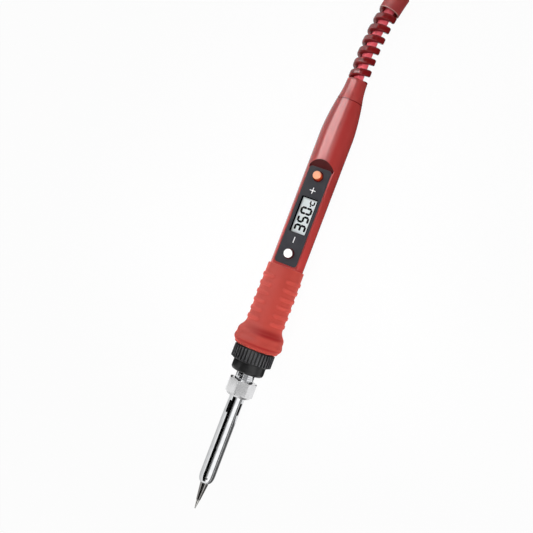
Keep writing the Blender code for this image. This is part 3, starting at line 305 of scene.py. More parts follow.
def round_edges(obj: Piece, width: float, segments: int = 2, crease: float = 35) -> None:
    """Rounds the edges that are sharper than an angle.

    Args:
        obj: The object.
        width: Width of the rounding.
        segments: Steps across it.
        crease: The angle in degrees.
    """
    limit = {"limit_method": "ANGLE", "angle_limit": math.radians(crease), "use_clamp_overlap": True}
    apply_modifier(obj, "BEVEL", width=width, segments=segments, **limit)


def joined(name: str, objects: Sequence[Piece]) -> Piece:
    """Makes several objects one.

    Args:
        name: Name of the one object.
        objects: The objects.

    Returns:
        The first of them, which now holds all.
    """
    make_active(objects[0])
    for obj in objects:
        obj.select_set(True)
    bpy.ops.object.join()
    objects[0].name = objects[0].data.name = name
    return objects[0]


def copies(obj: Piece, places: Sequence[Matrix]) -> Piece:
    """Sets copies of a shape at several places.

    Args:
        obj: The shape, which is then gone.
        places: Where the copies go.

    Returns:
        All copies as one object, under the name of the shape.
    """
    made = []
    for place in places:
        copy = obj.copy()
        copy.data = obj.data.copy()
        bpy.context.scene.collection.objects.link(copy)
        made.append(settle(copy, place))
    name = obj.name
    bpy.data.objects.remove(obj)
    return joined(name, made)


def smooth(obj: Piece, crease: float = 32) -> Piece:
    """Shades an object smooth, apart from edges sharper than an angle in degrees."""
    make_active(obj)
    bpy.ops.object.shade_smooth_by_angle(angle=math.radians(crease))
    return obj


def arc(centre: Pair, radius: float, start: float, end: float, count: int) -> Profile:
    """Points on a round stretch of an outline, with its angles in degrees from the first axis."""
    angles = np.radians(np.linspace(start, end, count))
    return [(centre[0] + radius * math.cos(a), centre[1] + radius * math.sin(a)) for a in angles]


def stairs(start: float, *steps: Pair) -> Profile:
    """Points of a stepped stretch of an outline.

    Args:
        start: The station that it starts from.
        steps: Each radius, with the station that it reaches to.

    Returns:
        The points.
    """
    points = []
    for radius, end in steps:
        points += [(radius, start), (radius, end)]
        start = end
    return points


def shift(x: float, y: float, z: float) -> Matrix:
    """A move along the axes."""
    return Matrix.Translation((x, y, z))


def rotation(degrees: float, axis: str = "Z") -> Matrix:
    """A turn about an axis."""
    return Matrix.Rotation(math.radians(degrees), 4, axis)


def standing(station: float) -> Matrix:
    """A place on the panel's middle line, with Z the way the panel faces."""
    return shift(0, 0, station) @ rotation(-90, "X")


def level(height: float) -> Matrix:
    """A plate drawn on the panel, whose upper face is at a height above the axis."""
    return shift(0, height, 0) @ ON_PANEL


def oblong(half: float, front: float, end: float, inset: float = 0) -> tuple[Pair, Pair]:
    """The lowest and the highest corner of an oblong on the middle line, or of a smaller one in it."""
    return (inset - half, front + inset), (half - inset, end - inset)


def placed(spot: Vector, x: Vector, y: Vector, z: Vector) -> Matrix:
    """A place at a spot, with these axes."""
    return Matrix.Translation(spot) @ Matrix((x, y, z)).transposed().to_4x4()


def moved_points(obj: Piece, move: Callable[[Vector], Vector]) -> None:
    """Moves each point of a mesh by a rule."""
    for vertex in obj.data.vertices:
        vertex.co = move(vertex.co)
    obj.data.update()


def smooth_route(points: Sequence[Sequence[float]], spacing: float) -> list[Vector]:
    """Reads points off a smooth curve through the given ones.

    Args:
        points: Places on the route.
        spacing: About how far apart the points are.

    Returns:
        The points, with both ends of the route.
    """
    knots = np.array(points, float)
    steps = np.linalg.norm(np.diff(knots, axis=0), axis=1)
    at = np.concatenate([[0], np.cumsum(steps)])
    slopes = np.gradient(knots, at, axis=0)
    found = []
    for distance in np.linspace(0, at[-1], max(2, round(at[-1] / spacing) + 1)):
        i = min(int(np.searchsorted(at, distance, side="right")) - 1, len(steps) - 1)
        t = (distance - at[i]) / steps[i]
        weight = 2 * t**3 - 3 * t**2 + 1
        near = weight * knots[i] + steps[i] * (t**3 - 2 * t**2 + t) * slopes[i]
        far = (1 - weight) * knots[i + 1] + steps[i] * (t**3 - t**2) * slopes[i + 1]
        found.append(Vector(near + far))
    return found


@dataclass(frozen=True)
class Iron:
    """Where the iron lies."""

    matrix: Matrix

    NUT_STATION = 0.0645

    @classmethod
    def from_joints(cls, joints: Sequence[dict]) -> "Iron":
        """Reads the axis and the way that the panel faces from the frame's joints.

        Args:
            joints: The joints of the frame.

        Returns:
            The iron's place.
        """
        named = {joint["name"]: joint for joint in joints}
        to_tip = Vector(named["nut_turn"]["axis"]).normalized()
        up = -Vector(named["plus_press"]["axis"]).normalized()
        tip = Vector(named["nut_turn"]["pos_m"]) + to_tip * cls.NUT_STATION
        return cls(placed(tip, up.cross(-to_tip), up, -to_tip))

    def at(self, place: Sequence[float]) -> Vector:
        """Where a point of the iron's frame is in the world."""
        return self.matrix @ Vector(place)

    def way(self, direction: Sequence[float]) -> Vector:
        """Which way a direction of the iron's frame points in the world."""
        return self.matrix.to_3x3() @ Vector(direction)


def linear(colour: str) -> tuple[float, float, float, float]:
    """Turns an sRGB hex colour to linear light, with full alpha."""
    parts = [int(colour[i : i + 2], 16) / 255 for i in (1, 3, 5)]
    light = [c / 12.92 if c <= 0.04045 else ((c + 0.055) / 1.055) ** 2.4 for c in parts]
    return (*light, 1.0)


def per_metre(size_mm: float) -> float:
    """Scale of a pattern whose features are this many millimetres apart."""
    return 1000 / size_mm


def feed(tree: Tree, node: Node, links: dict) -> None:
    """Feeds the inputs of a node.

    Args:
        tree: The tree that it is in.
        node: The node.
        links: Inputs, each with the socket or the node that feeds it, or with its value.
    """
    for name, value in links.items():
        if isinstance(value, Node):
            value = next(output for output in value.outputs if output.enabled)
        if isinstance(value, bpy.types.NodeSocket):
            tree.links.new(value, node.inputs[name])
        else:
            node.inputs[name].default_value = value


def add_node(tree: Tree, kind: str, links: dict | None = None, **settings: str) -> Node:
    """Adds a node with its links and settings.

    Args:
        tree: The tree that it goes in.
        kind: Blender's name for the kind of shader node.
        links: Inputs, each with the socket or the node that feeds it, or with its value.
        settings: Properties of the node.

    Returns:
        The node.
    """
    node = tree.nodes.new(f"ShaderNode{kind}")
    for name, value in settings.items():
        setattr(node, name, value)
    feed(tree, node, links or {})
    return node


def new_material(name: str) -> bpy.types.Material:
    """A material with Blender's usual shader in it."""
    material = bpy.data.materials.new(name)
    material.use_nodes = True
    return material


def shown(tree: Tree, *rays: str) -> Node:
    """Finds whether a ray is of a kind that sees white.

    Args:
        tree: The tree that the nodes go in.
        rays: The kinds that do.

    Returns:
        The node that gives 1 for them and 0 for others.
    """
    path = add_node(tree, "LightPath")
    share = 0.0
    for ray in rays:
        share = add_node(tree, "Math", {0: share, 1: path.outputs[ray]}, operation="MAXIMUM")
    return share


@dataclass(frozen=True)
class Finish:
    """A surface whose colour and gloss drift a little, with a fine grain.

    The grain is finer than a pixel on most of these pieces, so it is drawn as coarse as it needs to show.
    """

    name: str
    slot: str
    colour: str
    drift_colour: str
    drift_mm: float = 9.0
    roughness: float = 0.4
    roughness_swing: float = 0.08
    grain_mm: float = 0.5
    grain_depth_mm: float = 0.01
    grain_stretch: float = 1.0
    metallic: float = 0.0
    ior: float = 1.5
    coat: float = 0.0
    sheen: float = 0.0
    sheen_tint: str = "#ffffff"
    specular: float = 0.5

    LEAST_ROUGHNESS = 0.02
    COAT_ROUGHNESS = 0.06

    def tones(self, tree: Tree, place: Node) -> Node:
        """The colour, which drifts between two near tones in soft patches.

        Args:
            tree: The material's tree.
            place: Gives the place on the iron.

        Returns:
            The colour.
        """
        scale = per_metre(self.drift_mm)
        patches = add_node(tree, "TexNoise", {"Vector": place, "Scale": scale, "Detail": 3.0})
        tones = add_node(tree, "ValToRGB", {"Fac": patches})
        dark, light = tones.color_ramp.elements
        dark.position, dark.color = 0.35, linear(self.drift_colour)
        light.position, light.color = 0.65, linear(self.colour)
        return tones

    def layers(self, tree: Tree, place: Node) -> Layers:
        """The shares and colours that lie over the tones, of which a plain finish has none."""
        yield from ()

    def make(self, iron: Iron) -> bpy.types.Material:
        """Builds the material.

        Args:
            iron: The iron's place, which the patterns are laid out in.

        Returns:
            The material.
        """
        material = new_material(self.name)
        tree = material.node_tree
        laid_out = {
            "Vector": add_node(tree, "TexCoord").outputs["Object"],
            "Location": iron.matrix.to_translation(),
            "Rotation": iron.matrix.to_euler(),
        }
        place = add_node(tree, "Mapping", laid_out, vector_type="TEXTURE")
        stretch = (1.0, 1.0, 1 / self.grain_stretch)
        stretched = add_node(tree, "Mapping", {"Vector": place, "Scale": stretch})
        scale = per_metre(self.grain_mm)
        grain = add_node(tree, "TexNoise", {"Vector": stretched, "Scale": scale, "Detail": 4.0})
        swing = {
            "From Min": 0.3,
            "From Max": 0.7,
            "To Min": max(self.LEAST_ROUGHNESS, self.roughness - self.roughness_swing),
            "To Max": self.roughness + self.roughness_swing,
        }
        gloss = add_node(tree, "MapRange", {"Value": grain, **swing})
        depth = self.grain_depth_mm / 1000
        bump = add_node(tree, "Bump", {"Height": grain, "Strength": 1.0, "Distance": depth})
        colour = self.tones(tree, place)
        for share, over in self.layers(tree, place):
            mixed = {"Factor": share, "A": colour, "B": linear(over)}
            colour = add_node(tree, "Mix", mixed, data_type="RGBA")
        shader = tree.nodes["Principled BSDF"]
        feed(tree, shader, {"Base Color": colour, "Roughness": gloss, "Normal": bump})
        feed(tree, shader, {"Metallic": self.metallic})
        if not self.metallic:
            feed(tree, shader, {"IOR": self.ior, "Specular IOR Level": self.specular})
        feed(tree, shader, {"Coat Weight": self.coat, "Coat Roughness": self.COAT_ROUGHNESS})
        feed(tree, shader, {"Sheen Weight": self.sheen, "Sheen Tint": linear(self.sheen_tint)})
        return material


@dataclass(frozen=True)
class Banded(Finish):
    """A finish that changes along the axis, from one station to the next."""

    bands: tuple[tuple[float, str], ...] = ()
    mottle: float = 0.35

    def tones(self, tree: Tree, place: Node) -> Node:
        """The colour of the band at each station, mottled by the base finish's two tones.

        Args:
            tree: The material's tree.
            place: Gives the place on the iron.

        Returns:
            The colour.
        """
        parts = add_node(tree, "SeparateXYZ", {"Vector": place})
        last = self.bands[-1][0]
        share = add_node(tree, "MapRange", {"Value": parts.outputs["Z"], "From Max": last})
        ramp = add_node(tree, "ValToRGB", {"Fac": share})
        stops = ramp.color_ramp.elements
        while len(stops) < len(self.bands):
            stops.new(0.5)
        for stop, (station, colour) in zip(stops, self.bands):
            stop.position = station / last
            stop.color = linear(colour)
        mixed = {"Factor": self.mottle, "A": ramp, "B": super().tones(tree, place)}
        return add_node(tree, "Mix", mixed, data_type="RGBA", blend_type="MULTIPLY")


@dataclass(frozen=True)
class Ribbed(Finish):
    """A finish with a painted highlight, paler where the surface stands away from the axis, past a station.
    """

    crest_highlight_colour: str = "#ffffff"
    plain_radius: float = 0.0
    rib_radius: float = 1.0
    from_station: float = 0.0

    def layers(self, tree: Tree, place: Node) -> Layers:
        """The painted highlight on the crests, laid on by height.

        Args:
            tree: The material's tree.
            place: Gives the place on the iron.

        Yields:
            Each layer's share and colour.
        """
        parts = add_node(tree, "SeparateXYZ", {"Vector": place})
        along = parts.outputs["Z"]
        flat = add_node(tree, "CombineXYZ", {"X": parts.outputs["X"], "Y": parts.outputs["Y"]})
        girth = add_node(tree, "VectorMath", {0: flat}, operation="LENGTH")
        rise = {"From Min": self.plain_radius, "From Max": self.rib_radius}
        height = add_node(tree, "MapRange", {"Value": girth, **rise})
        past = add_node(tree, "Math", {0: along, 1: self.from_station}, operation="GREATER_THAN")
        yield add_node(tree, "Math", {0: height, 1: past}, operation="MULTIPLY"), self.crest_highlight_colour


@dataclass(frozen=True)
class Folded(Ribbed):
    """A ribbed finish with painted shade in soft dark folds round the axis, which may fade out on one side
    of it.

    Attributes:
        fold_shade_colour: Colour of the painted shade at the bottom of a fold.
        folds: Each fold's station, half its width, and its strength on the right and on the left.
        fade: Where across the axis the right side ends and the left begins.
    """

    fold_shade_colour: str = "#000000"
    folds: tuple[tuple[float, float, float, float], ...] = ()
    fade: Pair = (-1.0, 1.0)

    def layers(self, tree: Tree, place: Node) -> Layers:
        """The painted highlight on the crests, and the painted shade of the folds over it along each fold.

        Args:
            tree: The material's tree.
            place: Gives the place on the iron.

        Yields:
            Each layer's share and colour.
        """
        yield from super().layers(tree, place)
        parts = add_node(tree, "SeparateXYZ", {"Vector": place})
        start, end = self.fade
        share = 0.0
        for station, half_width, right, left in self.folds:
            offset = add_node(tree, "Math", {0: parts.outputs["Z"], 1: station}, operation="SUBTRACT")
            away = add_node(tree, "Math", {0: offset}, operation="ABSOLUTE")
            fall = {"Value": away, "From Max": half_width, "To Min": 1.0, "To Max": 0.0}
            depth = add_node(tree, "MapRange", fall, interpolation_type="SMOOTHSTEP")
            sides = {"From Min": start, "From Max": end, "To Min": right, "To Max": left}
            side = add_node(tree, "MapRange", {"Value": parts.outputs["X"], **sides})
            fold = add_node(tree, "Math", {0: depth, 1: side}, operation="MULTIPLY")
            share = add_node(tree, "Math", {0: share, 1: fold}, operation="MAXIMUM")
        yield share, self.fold_shade_colour


@dataclass(frozen=True)
class Shaded(Finish):
    """A finish with painted shadow, darker towards an edge across the axis and towards one along it."""

    shade_colour: str = "#000000"
    across: Pair = (0.0, 1.0)
    along: Pair = (0.0, 1.0)

    def layers(self, tree: Tree, place: Node) -> Layers:
        """The painted shadow near either edge.

        Args:
            tree: The material's tree.
            place: Gives the place on the iron.

        Yields:
            Each layer's share and colour.
        """
        parts = add_node(tree, "SeparateXYZ", {"Vector": place})
        share = 0.0
        for axis, (start, end) in (("X", self.across), ("Z", self.along)):
            edge = {"Value": parts.outputs[axis], "From Min": start, "From Max": end}
            near = add_node(tree, "MapRange", edge)
            share = add_node(tree, "Math", {0: share, 1: near}, operation="MAXIMUM")
        yield share, self.shade_colour


# In order: name, slot, two tones, patch size, roughness and its swing, grain size and depth, grain stretch.
# ABS, moulded in a polished tool: an even deep red under a clear, slightly wavy gloss.
GLOSS_ABS = Finish(
    "gloss_red_abs", "red_abs", "#ae3935", "#a83532", 14, 0.19, 0.005, 1.6, 0.001, ior=1.54
)
# Painted shade: the same ABS in a dark red, with a duller face, on the recess's sloping end and on the white
# button's stem.
PAINTED_SHADE_ABS = Finish("dark_red_abs", "red_abs", "#521c1d", "#481819", 5, 0.4, 0.06, 0.8, 0.004, specular=0.3)
# Silicone rubber, moulded in a blasted tool: a soft, dusty red that lights up all over under its sheen, with
# a painted highlight on the rib crests and painted shade in its folds.
SOFT_SILICONE = Folded(
    "soft_red_silicone", "red_silicone", "#a3352b", "#9d3228", 5, 0.6, 0.06, 0.35, 0.008,
    sheen=0.7, sheen_tint="#fa8478", specular=0.25,
    crest_highlight_colour="#ac3b31", plain_radius=0.0094, rib_radius=0.0099, from_station=0.0980,
    fold_shade_colour="#880204", fade=(-0.003, 0.0045),
    folds=((0.0878, 0.0010, 0.9, 0.75), (0.0939, 0.0016, 1.0, 0.0), (0.0954, 0.0022, 0.8, 0.0)),
)
# Plasticised PVC, moulded over the lead: satin, a little darker in the folds.
SATIN_PVC = Finish("satin_red_pvc", "red_pvc", "#ae3b38", "#a63633", 4, 0.24, 0.005, 0.8, 0.001)
# The spiral of the cable entry, of the same PVC in a thinner, deeper section.
DEEP_PVC = Finish("deep_red_pvc", "red_pvc", "#831416", "#7a1113", 3, 0.13, 0.005, 0.8, 0.001)
# The same PVC on the ring at the spiral's end, rubbed dull, and a pale ring on that ring's front edge, a
# painted highlight.
DULL_PVC = Finish("dull_red_pvc", "red_pvc", "#a83735", "#a03231", 4, 0.5, 0.06, 0.6, 0.004, specular=0.3)
EDGE_HIGHLIGHT_PVC = Finish("worn_red_pvc", "red_pvc", "#cf9089", "#c07f78", 1, 0.45, 0.06, 0.4, 0.002)
# Plasticised PVC, drawn round the cores of the lead: brighter, with a faint ripple from the drawing.
CORD_PVC = Finish("drawn_red_pvc", "red_pvc", "#fd6874", "#f5616d", 6, 0.5, 0.06, 0.8, 0.004, specular=0.2)
# Nylon filled with glass, moulded: near black, with the fine mottle of the glass at its skin.
GLASS_NYLON = Finish("glass_filled_nylon", "black_nylon", "#161617", "#121213", 1.2, 0.33, 0.06, 0.3, 0.008)
# The same nylon on the collar, its ridges paler: a painted highlight.
RIDGE_HIGHLIGHT_NYLON = Ribbed(
    "handled_nylon", "black_nylon", "#0f0f10", "#0c0c0d", 1.2, 0.33, 0.06, 0.3, 0.008,
    crest_highlight_colour="#363638", plain_radius=0.0101, rib_radius=0.0105,
)
# Steel that heat has blued and soot has dulled, inside the sleeve.
SCALED_STEEL = Finish(
    "scaled_steel", "chromed_steel", "#080707", "#040404", 1, 0.85, 0.1, 0.3, 0.01, specular=0.1
)
# Steel tube under bright chrome: a mirror with faint marks that run along it.
CHROME = Finish(
    "bright_chrome", "chromed_steel", "#e4e5e6", "#d8d9db", 3, 0.07, 0.03, 0.12, 0.0006, 12, metallic=1
)
# Turned brass under satin nickel: pale, with the tool's fine lines.
SATIN_NICKEL = Finish(
    "satin_nickel", "chromed_steel", "#e6e6e7", "#dfdfe0", 3, 0.25, 0.03, 0.15, 0.0004, 6, metallic=1
)
# Copper under iron plate, passivated on the cone and tinned at the point.
PLATED_TIP = Banded(
    "tinned_iron_plate", "plated_tip", "#ffffff", "#c4c2bf", 1.2, 0.1, 0.04, 0.2, 0.001, 4, metallic=1,
    bands=(
        (0.0, "#dcdcda"), (0.0044, "#d2d1cc"), (0.0049, "#8a8886"),
        (0.0110, "#93918f"), (0.0169, "#9c9a98"), (0.0430, "#a5a29d"),
    ),
)
# Polycarbonate label plate with a dull film: dark grey, with a fine even grain.
PANEL_FILM = Finish(
    "grained_grey_film", "grey_panel", "#37373b", "#323237", 6, 0.5, 0.06, 0.25, 0.006, specular=0.08
)
# Painted shade: the handle's ABS made near black, deep in the holes of the panel and on a strip of the
# recess floor, where little light comes.
SHADED_ABS = Finish(
    "shaded_red_abs", "red_abs", "#4c0009", "#430008", 2, 0.6, 0.06, 0.4, 0.002, specular=0.0
)
# Painted shade: a dark red line in the gap round the panel.
EDGE_SHADE_ABS = Finish("dark_red_gasket", "red_abs", "#522828", "#4a2323", 1, 0.4, 0.06, 0.25, 0.002, specular=0.2)
# Glass over a reflective liquid crystal cell: pale grey-green behind a clean gloss, darkened along its left
# and cable-end edges by painted shadow of the window's walls.
CELL_GLASS = Shaded(
    "display_cell_glass", "display_glass", "#dae0e1", "#d4dadb", 5, 0.22, 0.02, 0.6, 0.0005,
    specular=0.2, shade_colour="#6a6e6f", across=(0.0028, 0.0041), along=(0.1638, 0.1652),
)
# Black card that frames the cell, under the same glass, and lines the window's walls: partly the cell's
# mask, partly painted shade of those walls.
CELL_FRAME = Finish(
    "black_cell_frame", "display_glass", "#020203", "#030304", 1, 0.8, 0.05, 0.3, 0.0005, specular=0.0
)
# The darkened segments of the cell.
CELL_SEGMENT = Finish(
    "darkened_segment", "display_glass", "#08080a", "#0c0c0e", 1, 0.3, 0.05, 0.3, 0.0005, specular=0.1
)
# Screen-printed white ink: flat, with a slightly ragged cover.
WHITE_INK = Finish("white_screen_ink", "grey_panel", "#f1f1f1", "#e2e2e4", 0.6, 0.6, 0.08, 0.2, 0.004)
# ABS, moulded in a fine-grained tool: the tops of both buttons, and the redder side of one. The orange top
# is painted paler than its side, a painted highlight.
ORANGE_HIGHLIGHT_ABS = Finish("orange_abs", "orange_button", "#fba26e", "#f79b67", 2, 0.38, 0.05, 0.4, 0.003)
DEEP_ORANGE_ABS = Finish(
    "deep_orange_abs", "orange_button", "#ff5a2c", "#fb5226", 2, 0.4, 0.05, 0.4, 0.003, specular=0.2
)
WHITE_ABS = Finish("white_abs", "white_button", "#fbfbf9", "#f6f6f4", 2, 0.38, 0.05, 0.4, 0.003, coat=0.1)
# Sintered alumina: chalk white, faintly granular.
ALUMINA = Finish("sintered_alumina", "alumina", "#e9e6da", "#ddd8c9", 1.5, 0.55, 0.08, 0.25, 0.01)
# Epoxy cast round a component: black, slightly pitted.
CAST_EPOXY = Finish("cast_black_epoxy", "black_epoxy", "#202022", "#19191b", 1.5, 0.5, 0.1, 0.3, 0.01)
# Glass-epoxy laminate under green solder resist: tracks show as a lighter weave.
SOLDER_RESIST = Finish(
    "green_solder_resist", "circuit_board", "#1d6b3a", "#134d29", 1.6, 0.35, 0.08, 0.5, 0.01, coat=0.2
)
# Flame-proof film box of a capacitor: an even yellow, slightly grained.
FILM_CASE = Finish("yellow_film_case", "film_case", "#d9a928", "#cc9a1c", 3, 0.4, 0.06, 0.5, 0.006)
# Shrunk PVC sleeve of a capacitor: deep blue, fairly glossy.
SHRUNK_SLEEVE = Finish(
    "shrunk_blue_sleeve", "capacitor_sleeve", "#25418c", "#1c347a", 3, 0.3, 0.06, 0.6, 0.006
)
# Glass fibre, braided over a heater wire: off-white and matt, with a coarse weave.
BRAIDED_GLASS = Finish(
    "braided_glass_fibre", "glass_sleeving", "#ddd9cc", "#c3bdab", 0.5, 0.7, 0.08, 0.3, 0.03, sheen=0.2
)
# Plasticised PVC, drawn round the mains cores: satin, in their two colours.
BROWN_PVC = Finish("brown_core_pvc", "brown_pvc", "#5e3420", "#54301c", 3, 0.4, 0.06, 0.6, 0.006)
BLUE_PVC = Finish("blue_core_pvc", "blue_pvc", "#2556b0", "#1f4ca2", 3, 0.4, 0.06, 0.6, 0.006)
# Brass pins under bright nickel, rubbed along their length by sockets.
NICKELLED_BRASS = Finish(
    "rubbed_nickel", "nickelled_brass", "#d9d6cf", "#c9c3b6", 1.5, 0.2, 0.08, 0.2, 0.002, 8, metallic=1
)
# Nylon hook-and-loop tape: matt black with a coarse pile.
LOOP_TAPE = Finish(
    "hook_and_loop_tape", "black_nylon", "#2b2b2d", "#1b1b1d", 0.8, 0.8, 0.08, 0.5, 0.12, sheen=0.3
)


class Paintbox:
    """Makes each material once and dresses pieces with it."""

    def __init__(self, iron: Iron) -> None:
        """Starts with no materials."""
        self.iron = iron
        self.made: dict[str, bpy.types.Material] = {}

    def paint(self, obj: Piece, finish: Finish) -> None:
        """Gives an object one finish.

        Args:
            obj: The object.
            finish: Its finish.
        """
        if finish.name not in self.made:
            self.made[finish.name] = finish.make(self.iron)
        obj.data.materials.clear()
        obj.data.materials.append(self.made[finish.name])

    def hang(self, obj: Piece, finish: Finish, *nodes: str, body: Body = Body.HANDLE) -> Piece:
        """Paints a piece that is in place, hangs it on its body and reports it.

        Args:
            obj: The piece.
            finish: Its finish.
            nodes: The solids of the frame that it stands for.
            body: The body that carries it.

        Returns:
            The piece.
        """
        self.paint(obj, finish)
        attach(obj, body.value)
        if nodes:
            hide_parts(*nodes)
        LOG.info("%s: %s on %s", obj.name, finish.name, body.value)
        return obj

    def dress(
        self, obj: Piece, finish: Finish, *nodes: str, body: Body = Body.HANDLE, crease: float = 32
    ) -> Piece:
        """Finishes a piece that was modelled in the iron's frame.

        Args:
            obj: The piece.
            finish: Its finish.
            nodes: The solids of the frame that it stands for.
            body: The body that carries it.
            crease: Angle in degrees above which an edge is shaded sharp.

        Returns:
            The piece, in place.
        """
        settle(obj, self.iron.matrix)
        return self.hang(smooth(obj, crease), finish, *nodes, body=body)


@dataclass
class Assembly:
    """A sub-assembly, whose build method makes its pieces and dresses them."""

    paints: Paintbox


@dataclass
class Barrel(Assembly):
    """The pointed tip and the slotted sleeve that holds it over the heater."""

    point_radius: float = 0.0003
    tinned_end: float = 0.0047
    tinned_radius: float = 0.00095
    cone: float = 0.0049
    cone_radius: float = 0.0011
    neck: float = 0.0153
    neck_radius: float = 0.00238
    shank: float = 0.0169
    shank_radius: float = 0.0032
    tip_end: float = 0.0430
    tip_sides: int = 72
    bore_radius: float = 0.00225
    bore_end: float = 0.0205
    front: float = 0.0140
    nose_middle: float = 0.0023
    nose_end: float = 0.0186
    end: float = 0.0629
    radius: float = 0.00405
    inner_radius: float = 0.0036
    mouth_radius: float = 0.00265
    mouth: Pair = (0.0002, 0.0008)
    seat: float = 0.0170
    flange: float = 0.0616
    flange_radius: float = 0.00495
    edge: float = 0.00008
    vent_middle: float = 0.0545
    vent_length: float = 0.0065
    vent_width: float = 0.0014
    vent_round: float = 0.96
    vent_angles: Pair = (67, -23)
    scale_front: float = 0.0434
    scale_sides: int = 64
    scale_gap: float = 0.00003
    scale_thickness: float = 0.0001

    def build(self) -> None:
        """Makes the tip, the sleeve and the scale in it."""
        self.paints.dress(self.tip(), PLATED_TIP, "solder_tip", body=Body.BARREL, crease=9)
        self.paints.dress(self.sleeve(), CHROME, "barrel_sleeve", body=Body.BARREL)
        self.paints.dress(self.scale(), SCALED_STEEL, body=Body.BARREL)

    def tip(self) -> Piece:
        """The tip: a blunt tinned point, a plated cone and a shank with a bore.

        Returns:
            The tip.
        """
        drilled = self.bore_end + self.bore_radius / 2
        profile = [
            *arc((0, self.point_radius), self.point_radius, -90, -12, 6),
            (self.tinned_radius, self.tinned_end), (self.cone_radius, self.cone),
            (self.neck_radius, self.neck),
            *stairs(self.shank, (self.shank_radius, self.tip_end), (self.bore_radius, drilled)),
            (0, self.bore_end),
        ]
        return turned("tip", profile, self.tip_sides)

    def scale(self) -> Piece:
        """The dark scale on the inside of the sleeve, behind the vents."""
        outer = self.inner_radius - self.scale_gap
        inner = outer - self.scale_thickness
        return ring("sleeve_scale", inner, outer, self.scale_front, self.flange, self.scale_sides)

    def sleeve(self) -> Piece:
        """The sleeve: a tube with a drawn-in nose, a flange and four vents.

        Returns:
            The sleeve.
        """
        depth, swell = self.nose_end - self.front, self.radius - self.nose_middle
        nose = [
            (self.nose_middle + swell * math.sin(angle), self.nose_end - depth * math.cos(angle))
            for angle in np.radians(np.linspace(15, 90, 14))
        ]
        mouth_front, mouth_end = (self.front + step for step in self.mouth)
        profile = [
            (self.mouth_radius, mouth_front),
            *nose,
            (self.radius, self.flange),
            *stairs(self.flange, (self.flange_radius, self.end), (self.inner_radius, self.seat)),
            (self.mouth_radius, mouth_end), (self.mouth_radius, mouth_front),
        ]
        shape = turned("sleeve", profile)
        round_edges(shape, self.edge, 2, 50)
        across, along = self.vent_width / 2, self.vent_length / 2
        through = 4 * self.radius
        middle = shift(0, through / 2, self.vent_middle) @ ON_PANEL
        for angle in self.vent_angles:
            vent = plate("vent", *oblong(across, -along, along), across * self.vent_round, through)
            settle(vent, rotation(angle) @ middle)
            combine(shape, vent, Join.CUT)
        return shape


@dataclass
class Nut(Assembly):
    """The eight-sided nut that holds the sleeve on the neck."""

    front: float = 0.06025
    end: float = 0.06875
    sides: int = 8
    across_flats: float = 0.0138
    lip: float = 0.0010
    lip_radius: float = 0.0044
    seat_radius: float = 0.0053
    seat_end: float = 0.0633
    bore_radius: float = 0.0050
    turn: float = 18.8
    front_chamfer: float = 0.0022
    front_share: float = 0.45
    front_drops: Triple = (0.0030, 0.0016, 0.0007)
    rear_chamfer: float = 0.0009
    rear_drops: Pair = (0.0006, 0.0016)
    edge: float = 0.00012
    past: float = 0.001

    def build(self) -> None:
        """Makes the nut: a prism, trimmed by a turned envelope and bored."""
        corner = self.across_flats / 2 / math.cos(math.pi / self.sides)
        length = self.end - self.front
        cylinder = bpy.ops.mesh.primitive_cylinder_add
        nut = started("nut", cylinder, vertices=self.sides, radius=corner, depth=length)
        settle(nut, shift(0, 0, self.front + length / 2) @ rotation(self.turn + 180 / self.sides))
        before, behind = self.front - self.past, self.end + self.past
        first, second, third = (corner - drop for drop in self.front_drops)
        last_but_one, last = (corner - drop for drop in self.rear_drops)
        sides = (self.front + self.front_chamfer, self.end - self.rear_chamfer)
        envelope = [
            (0, before), (first, before), (second, self.front),
            (third, self.front + self.front_share * self.front_chamfer),
            *[(corner + self.past, station) for station in sides],
            (last_but_one, self.end), (last, behind), (0, behind),
        ]
        combine(nut, turned("envelope", envelope), Join.COMMON)
        lip, seat = (self.lip_radius, self.front + self.lip), (self.seat_radius, self.seat_end)
        bore = stairs(before, lip, seat, (self.bore_radius, behind))
        combine(nut, turned("bore", [(0, before), *bore, (0, behind)]), Join.CUT)
        round_edges(nut, self.edge, 2, 24)
        self.paints.dress(nut, SATIN_NICKEL, "barrel_nut", body=Body.NUT, crease=9)


